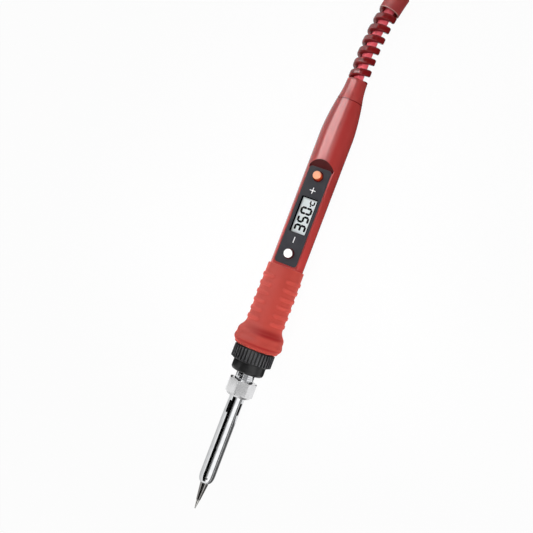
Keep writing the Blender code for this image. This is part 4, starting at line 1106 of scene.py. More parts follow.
@dataclass
class Neck(Assembly):
    """The threaded neck between nut and collar, and the knurled collar that holds it to the handle."""

    front: float = 0.0634
    flange: float = 0.0746
    end: float = 0.0766
    radius: float = 0.0047
    root_radius: float = 0.00448
    flange_radius: float = 0.0070
    bore_radius: float = 0.0024
    pitch: float = 0.0010
    crest: Triple = (0.08, 0.20, 0.88)
    run_out: float = 0.4
    neck_sides: int = 64
    collar_front: float = 0.0726
    shoulder: float = 0.0780
    collar_end: float = 0.0853
    face_radius: float = 0.0069
    small_radius: float = 0.0084
    rim: float = 0.0016
    hole_radius: float = 0.00505
    seat: float = 0.0742
    seat_radius: float = 0.00735
    inner: float = 0.0796
    inner_radius: float = 0.0085
    edge: float = 0.00018
    knurl_radius: float = 0.01055
    knurl_root: float = 0.0100
    knurl_lead: tuple[Pair, ...] = ((0.0009, 0.0), (0.0003, 0.0003), (0.0, 0.0012))
    knurl_margins: Pair = (0.0006, 0.0004)
    ridges: int = 36
    ridge_share: float = 0.54
    ridge_sunk: float = 0.0006
    ridge_edge: float = 0.00014

    def build(self) -> None:
        """Makes the neck and the collar."""
        self.paints.dress(self.neck(), CHROME, "threaded_neck", body=Body.NECK)
        self.paints.dress(self.collar(), RIDGE_HIGHLIGHT_NYLON, "collar_nut", body=Body.COLLAR, crease=28)

    def neck(self) -> Piece:
        """The neck, with flat thread crests between its front and the collar.

        Returns:
            The neck.
        """
        rise, top, fall = (share * self.pitch for share in self.crest)
        thread = []
        station = self.front
        while station < self.collar_front - self.pitch:
            thread += [
                (self.root_radius, station + rise), (self.radius, station + top),
                (self.radius, station + fall), (self.root_radius, station + self.pitch),
            ]
            station += self.pitch
        profile = [
            (self.bore_radius, self.front), (self.root_radius, self.front),
            *thread,
            (self.radius, station + self.run_out * self.pitch), (self.radius, self.flange),
            *stairs(self.flange, (self.flange_radius, self.end), (self.bore_radius, self.front)),
        ]
        return turned("neck", profile, self.neck_sides)

    def collar(self) -> Piece:
        """The collar: a plain ring and a wider one whose ridges have rounded ends.

        Returns:
            The collar.
        """
        profile = [
            (self.hole_radius, self.collar_front), (self.face_radius, self.collar_front),
            *arc((self.small_radius - self.rim, self.collar_front + self.rim), self.rim, -72, 0, 6),
            (self.small_radius, self.shoulder),
            *[(self.knurl_root - drop, self.shoulder + step) for drop, step in self.knurl_lead],
            (self.knurl_root, self.collar_end),
            *stairs(self.collar_end, (self.inner_radius, self.inner), (self.seat_radius, self.seat)),
            *stairs(self.seat, (self.hole_radius, self.collar_front)),
        ]
        shape = turned("collar", profile)
        round_edges(shape, self.edge, 2, 40)
        combine(shape, self.knurl(), Join.FUSE)
        return shape

    def knurl(self) -> Piece:
        """The ring of ridges.

        Returns:
            All ridges as one object.
        """
        width = self.ridge_share * FULL_TURN * self.knurl_radius / self.ridges
        low, high = self.shoulder + self.knurl_margins[0], self.collar_end - self.knurl_margins[1]
        ridge = started("ridge", bpy.ops.mesh.primitive_cube_add, size=1)
        thick = self.knurl_radius - self.knurl_root + self.ridge_sunk
        middle = shift(self.knurl_radius - thick / 2, 0, (low + high) / 2)
        settle(ridge, middle @ Matrix.Diagonal((thick, width, high - low, 1)))
        round_edges(ridge, self.ridge_edge, 2, 40)
        return copies(ridge, [rotation(360 * i / self.ridges) for i in range(self.ridges)])


@dataclass
class Grip(Assembly):
    """The silicone grip: a flared collar in front, then two banks of finger ribs."""

    front: float = 0.0856
    end: float = 0.1288
    bore_radius: float = 0.00886
    radius: float = 0.0094
    face_radius: float = 0.0104
    flare: float = 0.0889
    # The flare's outline: each radius with its station, first after the front, then after the flare's crest
    rise: Profile = ((0.0108, 0.0001), (0.0112, 0.0004), (0.01138, 0.0009))
    crest: Profile = ((0.0117, -0.0018), (0.01232, -0.0010), (0.0126, 0.0), (0.0125, 0.0008))
    fall: Profile = (
        (0.0121, 0.0022), (0.01202, 0.0042), (0.0116, 0.0053), (0.0107, 0.0065),
        (0.0099, 0.0078), (0.00952, 0.0090), (0.0094, 0.0102),
    )
    knot_spacing: float = 0.00035
    lip: float = 0.00045
    plain_end: float = 0.0006
    rib_count: int = 6
    rib_first: float = 0.1003
    rib_pitch: float = 0.00443
    rib_half_width: float = 0.00125
    rib_side: float = 0.5
    rib_proud: float = 0.0005
    banks: tuple[Pair, ...] = ((-146, -8), (24, 162))
    ring_step: float = 0.00022
    sides: int = 176

    def build(self) -> None:
        """Makes the grip as one turned skin and swells its ribs out of it."""
        grip = turned("grip", self.profile(), self.sides)
        moved_points(grip, self.swollen)
        self.paints.dress(grip, SOFT_SILICONE, "grip_sleeve", crease=50)

    def profile(self) -> Profile:
        """The grip's outline: front face, flare, waist, ribbed stretch and bore.

        Returns:
            Its points.
        """
        knots = [(radius, self.front + step, 0) for radius, step in self.rise]
        knots += [(radius, self.flare + step, 0) for radius, step in (*self.crest, *self.fall)]
        front = [(point.x, point.y) for point in smooth_route(knots, self.knot_spacing)]
        rings = np.arange(front[-1][1] + self.ring_step, self.end - self.plain_end, self.ring_step)
        return [
            (self.bore_radius, self.front), (self.face_radius, self.front),
            *front,
            *[(self.radius, station) for station in rings],
            *arc((self.radius - self.lip, self.end - self.lip), self.lip, 0, 90, 6),
            (self.bore_radius, self.end), (self.bore_radius, self.front),
        ]

    def swollen(self, point: Vector) -> Vector:
        """Where a point of the plain skin goes when the ribs swell out of it.

        Args:
            point: A point of the turned skin.

        Returns:
            The same point, moved away from the axis by as much as the rib there is proud.
        """
        girth = math.hypot(point.x, point.y)
        if girth < (self.radius + self.bore_radius) / 2 or point.z < self.rib_first - self.rib_pitch / 2:
            return point
        angle = math.degrees(math.atan2(-point.x, point.y))
        nearest = round((point.z - self.rib_first) / self.rib_pitch)
        rib = min(max(nearest, 0), self.rib_count - 1)
        along = point.z - (self.rib_first + rib * self.rib_pitch)
        inset = math.degrees(self.rib_half_width / self.radius)
        proud = 0.0
        for start, end in self.banks:
            past = max(start + inset - angle, angle - end + inset, 0)
            away = math.hypot(along, math.radians(past) * self.radius) / self.rib_half_width
            rise = min(max((1 - away) / self.rib_side, 0), 1)
            proud = max(proud, self.rib_proud * rise**2 * (3 - 2 * rise))
        grown = (girth + proud) / girth
        return Vector((point.x * grown, point.y * grown, point.z))


@dataclass
class Handle(Assembly):
    """The gloss handle tube, cut away on top for the control panel."""

    nose_front: float = 0.0799
    nose_radius: float = 0.0082
    nose_bore: float = 0.0069
    nose_bore_end: float = 0.0880
    shoulder: float = 0.0860
    radius: float = 0.00858
    bore_front: float = 0.0885
    bore_radius: float = 0.0072
    taper: float = 0.1990
    taper_power: float = 1.6
    end: float = 0.2170
    end_radius: float = 0.00665
    end_edge: float = 0.0002
    bore_taper: float = 0.2050
    pocket: float = 0.2130
    pocket_radius: float = 0.0059
    door: float = 0.2152
    door_radius: float = 0.00485
    sides: int = 128
    flat_height: float = 0.00555
    recess_front: float = 0.1293
    recess_foot: float = 0.18095
    recess_slope: float = 39
    opening_front: float = 0.1312
    opening_end: float = 0.1795
    opening_half_width: float = 0.0052
    opening_corner: float = 0.0011
    bulkhead_radius: float = 0.0077
    bulkhead_underside: float = 0.0048
    bulkheads: tuple[Pair, ...] = ((0.1262, 0.1304), (0.1800, 0.1866))
    shade_sheet_thin: float = 0.00006
    shade_sheet_sunk: float = 0.00004
    floor_half_width: float = 0.0063
    floor_front: float = 0.1796
    floor_proud: float = 0.00002
    floor_corner: float = 0.0001

    def build(self) -> None:
        """Makes the handle and the dark sheets of painted shade in its recess."""
        self.paints.dress(self.shell(), GLOSS_ABS, "handle_shell", crease=25)
        # Sheets of painted shade: dark red on the recess's sloping end, near black on its floor round the
        # panel's far corners.
        self.paints.dress(self.end_wall_shade(), PAINTED_SHADE_ABS)
        self.paints.dress(self.floor_shade(), SHADED_ABS)

    def recess_side(self, name: str, front: float, end: float) -> Piece:
        """A block seen from the side as the recess is: flat below, its far end sloping.

        Args:
            name: Name of the new object.
            front: Station of its near end. Past the recess's own front, this end slopes too.
            end: Station of the far end's foot.

        Returns:
            The block.
        """
        above = 2 * self.radius
        run = (above - self.flat_height) / math.tan(math.radians(self.recess_slope))
        side = [
            (front, self.flat_height),
            (end, self.flat_height),
            (end + run, above),
            (front + (run if front > self.recess_front else 0), above),
        ]
        return settle(prism(name, side, -above, above), ON_SIDE)

    def end_wall_shade(self) -> Piece:
        """A thin dark sheet of painted shade on the recess's sloping end, trimmed to the tube.

        Returns:
            The sheet of painted shade.
        """
        front, end = self.recess_foot - self.shade_sheet_thin, self.recess_foot + self.shade_sheet_sunk
        end_wall_shade = self.recess_side("recess_lining", front, end)
        tube = rod("tube", self.radius - self.shade_sheet_sunk, self.recess_front, self.taper)
        combine(end_wall_shade, tube, Join.COMMON)
        return end_wall_shade

    def floor_shade(self) -> Piece:
        """A dark strip of painted shade on the recess's floor, which shows round the panel's far corners."""
        size = oblong(self.floor_half_width, self.floor_front, self.recess_foot)
        strip = plate("recess_floor", *size, self.floor_corner, self.shade_sheet_thin)
        return settle(strip, level(self.flat_height + self.floor_proud))

    def shell(self) -> Piece:
        """The tube, closed at both ends of the recess by bulkheads, with the recess and its opening cut.

        Returns:
            The shell.
        """
        shell = turned("handle_tube", self.profile(), self.sides)
        low = math.degrees(math.asin(self.bulkhead_underside / self.bulkhead_radius))
        for front, end in self.bulkheads:
            outline = arc((0, 0), self.bulkhead_radius, low, 180 - low, 17)
            combine(shell, prism("bulkhead", outline, front, end), Join.FUSE)
        combine(shell, self.recess_side("recess", self.recess_front, self.recess_foot), Join.CUT)
        depth = self.radius / 2
        size = oblong(self.opening_half_width, self.opening_front, self.opening_end)
        opening = plate("opening", *size, self.opening_corner, depth)
        combine(shell, settle(opening, level(self.flat_height + depth / 2)), Join.CUT)
        return shell

    def profile(self) -> Profile:
        """The tube's outline: nose, long straight stretch, tapering tail and stepped bore.

        Returns:
            Its points.
        """
        tail = []
        for station in np.linspace(self.taper, self.end - self.end_edge, 20):
            share = (station - self.taper) / (self.end - self.taper)
            tail.append((self.radius - (self.radius - self.end_radius) * share**self.taper_power, station))
        return [
            (self.nose_bore, self.nose_front),
            *stairs(self.nose_front, (self.nose_radius, self.shoulder)),
            (self.radius, self.shoulder),
            *tail,
            (self.end_radius - self.end_edge, self.end),
            *stairs(self.end, (self.door_radius, self.door), (self.pocket_radius, self.pocket)),
            (self.bore_radius, self.bore_taper), (self.bore_radius, self.bore_front),
            (self.nose_bore, self.nose_bore_end), (self.nose_bore, self.nose_front),
        ]


class Segment(Enum):
    """Bars of a seven-bar figure: middle across, middle up, and whether the bar lies across."""

    TOP = (0.0, 1.0, True)
    MIDDLE = (0.0, 0.0, True)
    BOTTOM = (0.0, -1.0, True)
    UPPER_LEFT = (-1.0, 0.5, False)
    UPPER_RIGHT = (1.0, 0.5, False)
    LOWER_LEFT = (-1.0, -0.5, False)
    LOWER_RIGHT = (1.0, -0.5, False)


THREE = (Segment.TOP, Segment.MIDDLE, Segment.BOTTOM, Segment.UPPER_RIGHT, Segment.LOWER_RIGHT)
FIVE = (Segment.TOP, Segment.MIDDLE, Segment.BOTTOM, Segment.UPPER_LEFT, Segment.LOWER_RIGHT)
ZERO = tuple(segment for segment in Segment if segment is not Segment.MIDDLE)
LETTER_C = (Segment.TOP, Segment.BOTTOM, Segment.UPPER_LEFT, Segment.LOWER_LEFT)


@dataclass(frozen=True)
class Figure:
    """A seven-bar figure on the display."""

    bars: tuple[Segment, ...]
    station: float
    across: float
    height: float
    width: float
    stroke: float


@dataclass(frozen=True)
class Button:
    """One push button: the radius that shows, how far it stands above the panel, and its two finishes."""

    name: str
    body: Body
    station: float
    radius: float
    stand: float
    cap: Finish
    stem: Finish


@dataclass
class Panel(Assembly):
    """The control panel: plate, printed signs, display figures and two buttons."""

    top: float = 0.00618
    underside: float = 0.00558
    front: float = 0.1300
    end: float = 0.1807
    half_width: float = 0.00585
    corner: float = 0.0016
    rounding: float = 0.00022
    boss_half_width: float = 0.0049
    boss_margin: float = 0.0017
    boss_underside: float = 0.00465
    window_front: float = 0.1465
    window_end: float = 0.1652
    window_half_width: float = 0.00415
    window_corner: float = 0.0005
    hole_radius: float = 0.00275
    glass_top: float = 0.00435
    # The plus button's top is painted paler than its side, a painted highlight; the minus button's stem is
    # dark red, painted shade in its hole.
    buttons: tuple[Button, ...] = (
        Button("plus", Body.PLUS, 0.17625, 0.00208, 0.0036, ORANGE_HIGHLIGHT_ABS, DEEP_ORANGE_ABS),
        Button("minus", Body.MINUS, 0.13565, 0.0022, 0.0021, WHITE_ABS, PAINTED_SHADE_ABS),
    )
    button_sides: int = 72
    cap_depth: float = 0.0003
    cap_rim: float = 0.00025
    cap_flat: float = 0.55
    cap_dome: float = 0.00002
    flange_top: float = 0.00435
    flange_underside: float = 0.00365
    flange_radius: float = 0.0033
    ink: float = 0.00004
    bezel_thin: float = 0.0001
    bezel_wide: float = 0.0005
    bezel_drop: float = 0.00025
    bezel_corner: float = 0.0003
    edge_shade_width: float = 0.00016
    edge_shade_depth: float = 0.0003
    hole_sides: int = 64
    well_low: float = 0.0047
    well_high: float = 0.0060
    well_gap: float = 0.0001
    sign_stroke: float = 0.0004
    sign_point: float = 0.2
    plus_sign: float = 0.1688
    plus_size: float = 0.0031
    minus_sign: float = 0.1429
    minus_size: float = 0.0030
    figures: tuple[Figure, ...] = (
        Figure(THREE, 0.1494, -0.0002, 0.0061, 0.0027, 0.00110),
        Figure(FIVE, 0.1539, -0.0002, 0.0061, 0.0027, 0.00110),
        Figure(ZERO, 0.1584, -0.0002, 0.0061, 0.0028, 0.00110),
        Figure(LETTER_C, 0.1630, -0.0018, 0.0027, 0.0018, 0.00074),
    )
    figure_point: float = 0.42
    figure_reach: float = 0.96
    degree: Pair = (0.1613, -0.0013)
    degree_radius: float = 0.00042
    degree_sides: int = 24

    def build(self) -> None:
        """Makes the panel and all that is on it."""
        self.paints.dress(self.plate(), PANEL_FILM, "control_panel", crease=25)
        self.paints.dress(self.signs(), WHITE_INK)
        self.paints.dress(self.display(), CELL_SEGMENT)
        # The window's black frame is partly painted shade of its walls.
        self.paints.dress(self.bezel(), CELL_FRAME)
        # A thin line of painted shade along the panel's edge.
        self.paints.dress(self.edge_shade_line(), EDGE_SHADE_ABS)
        for button in self.buttons:
            place, node = standing(button.station), f"{button.name}_button"
            cap, stem, well = (settle(shape, place) for shape in self.button_shapes(button))
            self.paints.dress(cap, button.cap, node, body=button.body)
            self.paints.dress(stem, button.stem, node, body=button.body)
            # The ring in each hole is painted shade.
            self.paints.dress(well, SHADED_ABS)

    def plate(self) -> Piece:
        """The panel plate with its boss, its window and its button holes.

        Returns:
            The plate.
        """
        size = oblong(self.half_width, self.front, self.end)
        shape = plate("panel_plate", *size, self.corner, self.top - self.underside)
        settle(shape, level(self.top))
        round_edges(shape, self.rounding, 3, 40)
        boss_top = (self.top + self.underside) / 2
        front, end = self.front + self.boss_margin, self.end - self.boss_margin
        size = oblong(self.boss_half_width, front, end)
        boss = plate("boss", *size, self.corner, boss_top - self.boss_underside)
        combine(shape, settle(boss, level(boss_top)), Join.FUSE)
        deep = 4 * self.top
        size = oblong(self.window_half_width, self.window_front, self.window_end)
        window = plate("window", *size, self.window_corner, deep)
        combine(shape, settle(window, level(deep / 2)), Join.CUT)
        for button in self.buttons:
            hole = rod("hole", self.hole_radius, -deep, deep, self.hole_sides)
            combine(shape, settle(hole, standing(button.station)), Join.CUT)
        return shape

    def bezel(self) -> Piece:
        """The black frame that lines the window: partly the cell's mask, partly painted shade of the
        window's walls, wider on the left and cable-end sides where that shade falls.

        Returns:
            The frame.
        """
        half, fit = self.window_half_width, self.ink
        outer = oblong(half, self.window_front, self.window_end, fit)
        low = (self.bezel_thin - half, self.window_front + self.bezel_thin)
        high = (half - self.bezel_wide, self.window_end - self.bezel_wide)
        depth = self.top - self.bezel_drop - self.glass_top - fit
        inner = (low, high, self.bezel_corner)
        frame = open_frame("display_bezel", (*outer, self.window_corner), inner, depth)
        return settle(frame, level(self.top - self.bezel_drop))

    def edge_shade_line(self) -> Piece:
        """The thin dark line of painted shade along the panel's edge.

        Returns:
            The line.
        """
        size = (self.half_width, self.front, self.end)
        outer = (*oblong(*size), self.corner)
        inner = (*oblong(*size, self.edge_shade_width), self.corner - self.edge_shade_width)
        rim = open_frame("panel_trim", outer, inner, self.edge_shade_depth)
        return settle(rim, level(self.top - self.ink / 2))

    def bar(self, length: float, stroke: float, point: float) -> Piece:
        """A thin bar along Y with cut corners, lying on Z = 0."""
        return plate("bar", *oblong(stroke / 2, -length / 2, length / 2), point * stroke, self.ink, 2)

    def signs(self) -> Piece:
        """The printed plus and minus.

        Returns:
            Both as one object.
        """
        made = []
        for station, size, turn in (
            (self.plus_sign, self.plus_size, Matrix()),
            (self.plus_sign, self.plus_size, rotation(90)),
            (self.minus_sign, self.minus_size, Matrix()),
        ):
            bar = self.bar(size, self.sign_stroke, self.sign_point)
            made.append(settle(bar, shift(0, station, 0) @ turn))
        first, second, minus = made
        combine(first, second, Join.FUSE)
        return settle(joined("printed_signs", [first, minus]), level(self.top + self.ink))

    def display(self) -> Piece:
        """The display's figures, read with the tip at the reader's left, and the degree dot.

        Returns:
            All of them as one object.
        """
        bars = []
        for figure in self.figures:
            reach = figure.height - figure.stroke
            for segment in figure.bars:
                sideways, upward, lies_across = segment.value
                length = figure.width if lies_across else reach / 2
                bar = self.bar(length * self.figure_reach, figure.stroke, self.figure_point)
                across = figure.across + upward * reach / 2
                along = figure.station + sideways * figure.width / 2
                place = shift(across, along, 0)
                bars.append(settle(bar, place if lies_across else place @ rotation(90)))
        dot = rod("degree", self.degree_radius, 0, self.ink, self.degree_sides)
        station, across = self.degree
        bars.append(settle(dot, shift(across, station, 0)))
        return settle(joined("display_figures", bars), level(self.glass_top + self.ink))

    def button_shapes(self, button: Button) -> tuple[Piece, Piece, Piece]:
        """A push button's top, with a rounded rim, its side, with a flange, and the dark ring of painted
        shade in its hole.

        Args:
            button: The button.

        Returns:
            The three, standing along Z.
        """
        radius, top, rim = button.radius, self.top + button.stand, self.cap_rim
        foot, seam = self.flange_underside, top - self.cap_depth
        cap = [
            (0, seam), (radius, seam),
            *arc((radius - rim, top - rim), rim, 0, 82, 6),
            (self.cap_flat * radius, top), (0, top + self.cap_dome),
        ]
        side = stairs(foot, (self.flange_radius, self.flange_top), (radius, seam))
        inner, outer = radius + self.well_gap, self.hole_radius - self.ink
        return (
            turned(f"{button.name}_cap", cap, self.button_sides),
            turned(f"{button.name}_stem", [(0, foot), *side, (0, seam)], self.button_sides),
            ring(f"{button.name}_well", inner, outer, self.well_low, self.well_high, self.hole_sides),
        )


@dataclass
class CableEntry(Assembly):
    """The boot at the handle's tail, whose spiral rib bends with the cord."""

    bore_radius: float = 0.00286
    flange: float = 0.2134
    flange_end: float = 0.2149
    flange_radius: float = 0.0056
    neck_radius: float = 0.00455
    seam: float = 0.21702
    seam_radii: Pair = (0.0060, 0.0065)
    front: float = 0.2174
    front_inner: float = 0.0061
    front_radius: float = 0.0066
    edge: float = 0.0002
    end: float = 0.2287
    end_round: float = 0.0006
    end_step: float = 0.00015
    sides: int = 80
    rib_radius: float = 0.0052
    rib_inner: float = 0.0031
    rib_pitch: float = 0.0060
    rib_thickness: float = 0.0034
    rib_front: float = 0.2325
    rib_turn: float = 14.8
    rib_corner: float = 0.0008
    rib_steps: int = 40
    first_turn: float = -1.0
    turns: float = 6.9
    ferrule_front: float = 0.2665
    ferrule_end: float = 0.2770
    ferrule_radius: float = 0.0054
    ferrule_corner: float = 0.0007
    cup_radius: float = 0.0046
    cup_depth: float = 0.0050
    highlight_radii: Pair = (0.0047, 0.00542)
    highlight_stations: Pair = (0.26645, 0.2668)
    bend_start: float = 0.2400
    bend_radius: float = 0.1350

    def build(self) -> None:
        """Makes the boot, its spiral and its end ferrule, which are moulded as one in the real thing."""
        for shape, finish in (
            (self.boot(), SATIN_PVC),
            (self.spiral(), DEEP_PVC),
            (self.ferrule(), DULL_PVC),
            # The pale ring on the ferrule's front edge is a painted highlight.
            (ring("ferrule_edge", *self.highlight_radii, *self.highlight_stations, self.sides), EDGE_HIGHLIGHT_PVC),
            (ring("boot_seam", *self.seam_radii, self.seam, self.front, self.sides), DEEP_PVC),
        ):
            moved_points(shape, self.bent)
            self.paints.dress(shape, finish, "strain_relief", crease=38)

    def bent(self, point: Sequence[float]) -> Vector:
        """Where the bend of the cable entry takes a point of the straight iron frame.

        Args:
            point: The point.

        Returns:
            Its place.
        """
        x, y, station = point
        past = station - self.bend_start
        if past <= 0:
            return Vector((x, y, station))
        angle = past / self.bend_radius
        across = self.bend_radius * (math.cos(angle) - 1) + x * math.cos(angle)
        along = self.bend_start + self.bend_radius * math.sin(angle) + x * math.sin(angle)
        return Vector((across, y, along))

    def boot(self) -> Piece:
        """The boot: a flange in the handle's pocket and a skirt that draws in to the rib's radius.

        Returns:
            The boot.
        """
        length, swell = self.end - self.front, self.front_radius - self.rib_radius
        skirt = [
            (self.rib_radius + swell * ((self.end - station) / length) ** 2, station)
            for station in np.linspace(self.front + self.edge, self.end - self.end_round, 16)
        ]
        profile = [
            (self.bore_radius, self.flange),
            *stairs(self.flange, (self.flange_radius, self.flange_end), (self.neck_radius, self.seam)),
            *stairs(self.seam, (self.front_inner, self.front)),
            (self.front_radius - self.edge, self.front),
            *skirt,
            (self.rib_radius - self.edge, self.end - self.end_step),
            (self.rib_radius - self.end_round, self.end),
            *stairs(self.end, (self.bore_radius, self.flange)),
        ]
        return turned("cable_boot", profile, self.sides)

    def ferrule(self) -> Piece:
        """The ring that ends the spiral: a cup towards the handle, a close hole where the cord leaves.

        Returns:
            The ring.
        """
        floor, lip = self.ferrule_front + self.cup_depth, self.ferrule_front + self.edge
        rings = np.linspace(lip, self.ferrule_end - self.ferrule_corner, 9)
        profile = [
            (self.cup_radius + self.edge, self.ferrule_front),
            (self.ferrule_radius - self.edge, self.ferrule_front),
            *[(self.ferrule_radius, station) for station in rings],
            (self.ferrule_radius - self.ferrule_corner, self.ferrule_end),
            *[(self.bore_radius, station) for station in np.linspace(self.ferrule_end, floor, 5)],
            *[(self.cup_radius, station) for station in np.linspace(floor, lip, 5)],
            (self.cup_radius + self.edge, self.ferrule_front),
        ]
        return turned("ferrule", profile, self.sides)

    def spiral(self) -> Piece:
        """One unbroken rib of rounded section, screwed round the cord, with both ends filled.

        Returns:
            The rib.
        """
        half, corner = self.rib_thickness / 2, self.rib_corner
        first = self.rib_front + self.rib_pitch * (self.first_turn - self.rib_turn / 360)
        outer = self.rib_radius - corner
        section = [
            (self.rib_inner, half),
            *arc((outer, half - corner), corner, 90, 0, 5),
            *arc((outer, corner - half), corner, 0, -90, 5),
            (self.rib_inner, -half),
        ]
        obj = drawn_line("spiral", [(radius, 0, first + level) for radius, level in section])
        with shaping():
            bpy.ops.mesh.edge_face_add()
            bpy.ops.mesh.delete(type="ONLY_FACE")
        steps = round(self.turns * self.rib_steps)
        screw = {"angle": FULL_TURN * self.turns, "screw_offset": self.rib_pitch * self.turns}
        screw |= {"steps": steps, "render_steps": steps, "use_merge_vertices": False}
        apply_modifier(obj, "SCREW", axis="Z", **screw)
        with shaping():
            bpy.ops.mesh.fill_holes(sides=0)
        return settle(obj, rotation(90))


@dataclass
class MainsLead(Assembly):
    """The cord, tied in a hank in line with the iron, and the plug at its end."""

    entry: CableEntry
    radius: float = 0.0025
    start: float = 0.2070
    past_entry: float = 0.0020
    route_step: float = 0.0025
    gap: float = 0.0003
    on_bench: float = 0.00255
    layer_step: float = 0.0057
    near: float = 0.1870
    run: float = 0.0950
    fold_radius: float = 0.0155
    step: float = 0.0057
    waist: float = 0.0036
    waist_step: float = 0.0074
    waist_lift: float = 0.0012
    loops: int = 3
    last_loop: float = 0.25
    loop_points: int = 96
    tie_width: float = 0.0080
    tie_thickness: float = 0.0010
    tie_wall: float = 0.7
    tie_corner: float = 0.0036
    tie_edge: float = 0.0002
    lap_reach: Pair = (0.0060, 0.0045)
    lap_inset: float = 0.0004
    lap_corner: float = 0.0012
    lap_edge: float = 0.00025
    lap_proud: float = 0.0008
    plug_rear: float = 0.3340
    plug_across: float = -0.0045
    plug_height: float = 0.0072
    plug_slack: float = 0.0060
    relief: float = 0.0140
    relief_radius: float = 0.0052
    relief_tip_radius: float = 0.0036
    relief_front: float = 0.0003
    relief_round: float = 0.0006
    relief_plain: float = 0.0010
    relief_sunk: float = 0.0040
    groove: float = 0.00045
    grooves: int = 5
    body: float = 0.0350
    width: float = 0.0353
    rear_width: float = 0.0150
    thickness: float = 0.0137
    shoulder: float = 0.275
    corner: float = 0.0030
    edge: float = 0.0026
    pin_radius: float = 0.0020
    pin_length: float = 0.0190
    pin_nose: float = 0.0012
    pin_seat: float = 0.0080
    pin_spacing: float = 0.0186
    pin_sides: int = 48
    hole_gap: float = 0.0001
    hole_past: float = 0.0020
    sleeve_length: float = 0.0100
    sleeve_thickness: float = 0.0002
    sleeve_end: float = 0.00005
    # Places on the bench: a low S from the cable entry to the outer run of the hank
    bench: tuple[Triple, ...] = (
        (0.1470, -0.0086, 0.0051), (0.1532, -0.0123, 0.0044), (0.1585, -0.0156, 0.0036),
        (0.1645, -0.0185, 0.0029), (0.1715, -0.0206, 0.00255),
    )
    # From the last run of the hank down to the plug: the first step, and places
    bow: Triple = (0.006, 0.0004, -0.0004)
    descent: tuple[Triple, ...] = (
        (0.3010, -0.0145, 0.0172), (0.3105, -0.0107, 0.0127), (0.3195, -0.0068, 0.0086),
    )

    TO_PINS = rotation(90, "Y")

    def build(self) -> None:
        plug = [self.tie(), *self.plug()]
        route = self.route()
        curve = bpy.data.curves.new("mains_lead", "CURVE")
        curve.dimensions = "3D"
        curve.bevel_depth = self.radius
        curve.bevel_resolution = 6
        curve.use_fill_caps = True
        spline = curve.splines.new("POLY")
        spline.points.add(len(route) - 1)
        for spot, place in zip(spline.points, route):
            spot.co = (*place, 1)
        spline.use_smooth = True
        cord = bpy.data.objects.new("mains_lead", curve)
        bpy.context.scene.collection.objects.link(cord)
        self.paints.hang(cord, CORD_PVC, "cord_lead", "cord_hank", "cord_tail")
        length = sum((b - a).length for a, b in zip(route, route[1:]))
        self.paints.iron.at(self.entry.bent((0, 0, self.entry.end)))

    def route(self) -> list[Vector]:
        """The cord's middle line, from inside the handle to the plug.

        Returns:
            Its points, in the world.
        """
        last = self.loops + self.last_loop
        count = round(last * self.loop_points)
        hank = [self.hank_point(last * i / count) for i in range(count + 1)]
        straight = Vector((2 * self.radius, 0, 0))
        clear = Vector((self.gap, 0, 0))
        into = hank[0] - straight - clear
        stations = np.linspace(self.start, self.entry.ferrule_end + self.past_entry, 9)
        inside = [self.paints.iron.at(self.entry.bent((0, 0, station))) for station in stations]
        lead = smooth_route([*inside, *self.bench, into - straight, into], self.route_step)
        leave = hank[-1] + straight + clear
        plug = Vector((self.plug_rear - self.gap, self.plug_across, self.plug_height))
        slack = Vector((self.plug_slack, 0, 0))
        places = [leave, leave + Vector(self.bow), *self.descent, plug - slack, plug]
        return [*lead, *hank, *smooth_route(places, self.route_step)]

    def hank_point(self, turns: float) -> Vector:
        """The middle of the cord after a number of loops round the hank.

        Args:
            turns: Loops from the start, each of which lies a layer higher than the last.

        Returns:
            The point, in the world.
        """
        layer = int(turns + 1e-9)
        share = turns - layer
        outward = 1 - share if layer % 2 == 0 else share
        fold = self.fold_radius + outward * self.step
        waist = self.waist + outward * self.waist_step
        quarter = int(share * 4 + 1e-9)
        along = share * 4 - quarter
        base = self.on_bench + layer * self.layer_step
        far = self.near + self.run
        if quarter in (0, 2):
            drawn_in = (1 - math.cos(FULL_TURN * along)) / 2
            half_width = fold + (waist - fold) * drawn_in
            height = base + self.waist_lift * drawn_in
            if quarter == 0:
                # A loop climbs from the layer below along its first run.
                climb = self.layer_step * (1 - along) if layer else 0
                return Vector((self.near + self.run * along, -half_width, height - climb))
            return Vector((far - self.run * along, half_width, height))
        angle = math.pi * (along - 0.5)
        if quarter == 1:
            return Vector((far + fold * math.cos(angle), fold * math.sin(angle), base))
        return Vector((self.near - fold * math.cos(angle), -fold * math.sin(angle), base))

    def tie(self) -> Piece:
        """The strap round the waist of the hank, with its free end lapped over the top.

        Returns:
            The strap.
        """
        low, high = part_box("hank_tie")
        middle = (low + high) / 2
        wall = Vector((self.tie_thickness, self.tie_thickness)) * self.tie_wall
        outer = (low.yz, high.yz, self.tie_corner)
        inner = (low.yz + wall, high.yz - wall, self.tie_corner - wall.x)
        strap = open_frame("hank_strap", outer, inner, self.tie_width)
        behind, before = self.lap_reach
        near = (middle.y - behind, self.lap_inset)
        far = (middle.y + before, self.tie_width - self.lap_inset)
        lap = plate("lap", near, far, self.lap_corner, self.tie_thickness)
        round_edges(lap, self.lap_edge, 2)
        round_edges(strap, self.tie_edge, 2, 60)
        side = middle.x - self.tie_width / 2
        upright = Matrix(((0, 0, 1), (1, 0, 0), (0, 1, 0))).to_4x4()
        settle(strap, shift(side, 0, 0) @ upright)
        flip = Matrix(((0, 1, 0), (1, 0, 0), (0, 0, -1))).to_4x4()
        settle(lap, shift(side, 0, high.z + self.lap_proud) @ flip)
        strap = joined("hank_strap", [strap, lap])
        return self.paints.hang(smooth(strap, 40), LOOP_TAPE, "hank_tie")

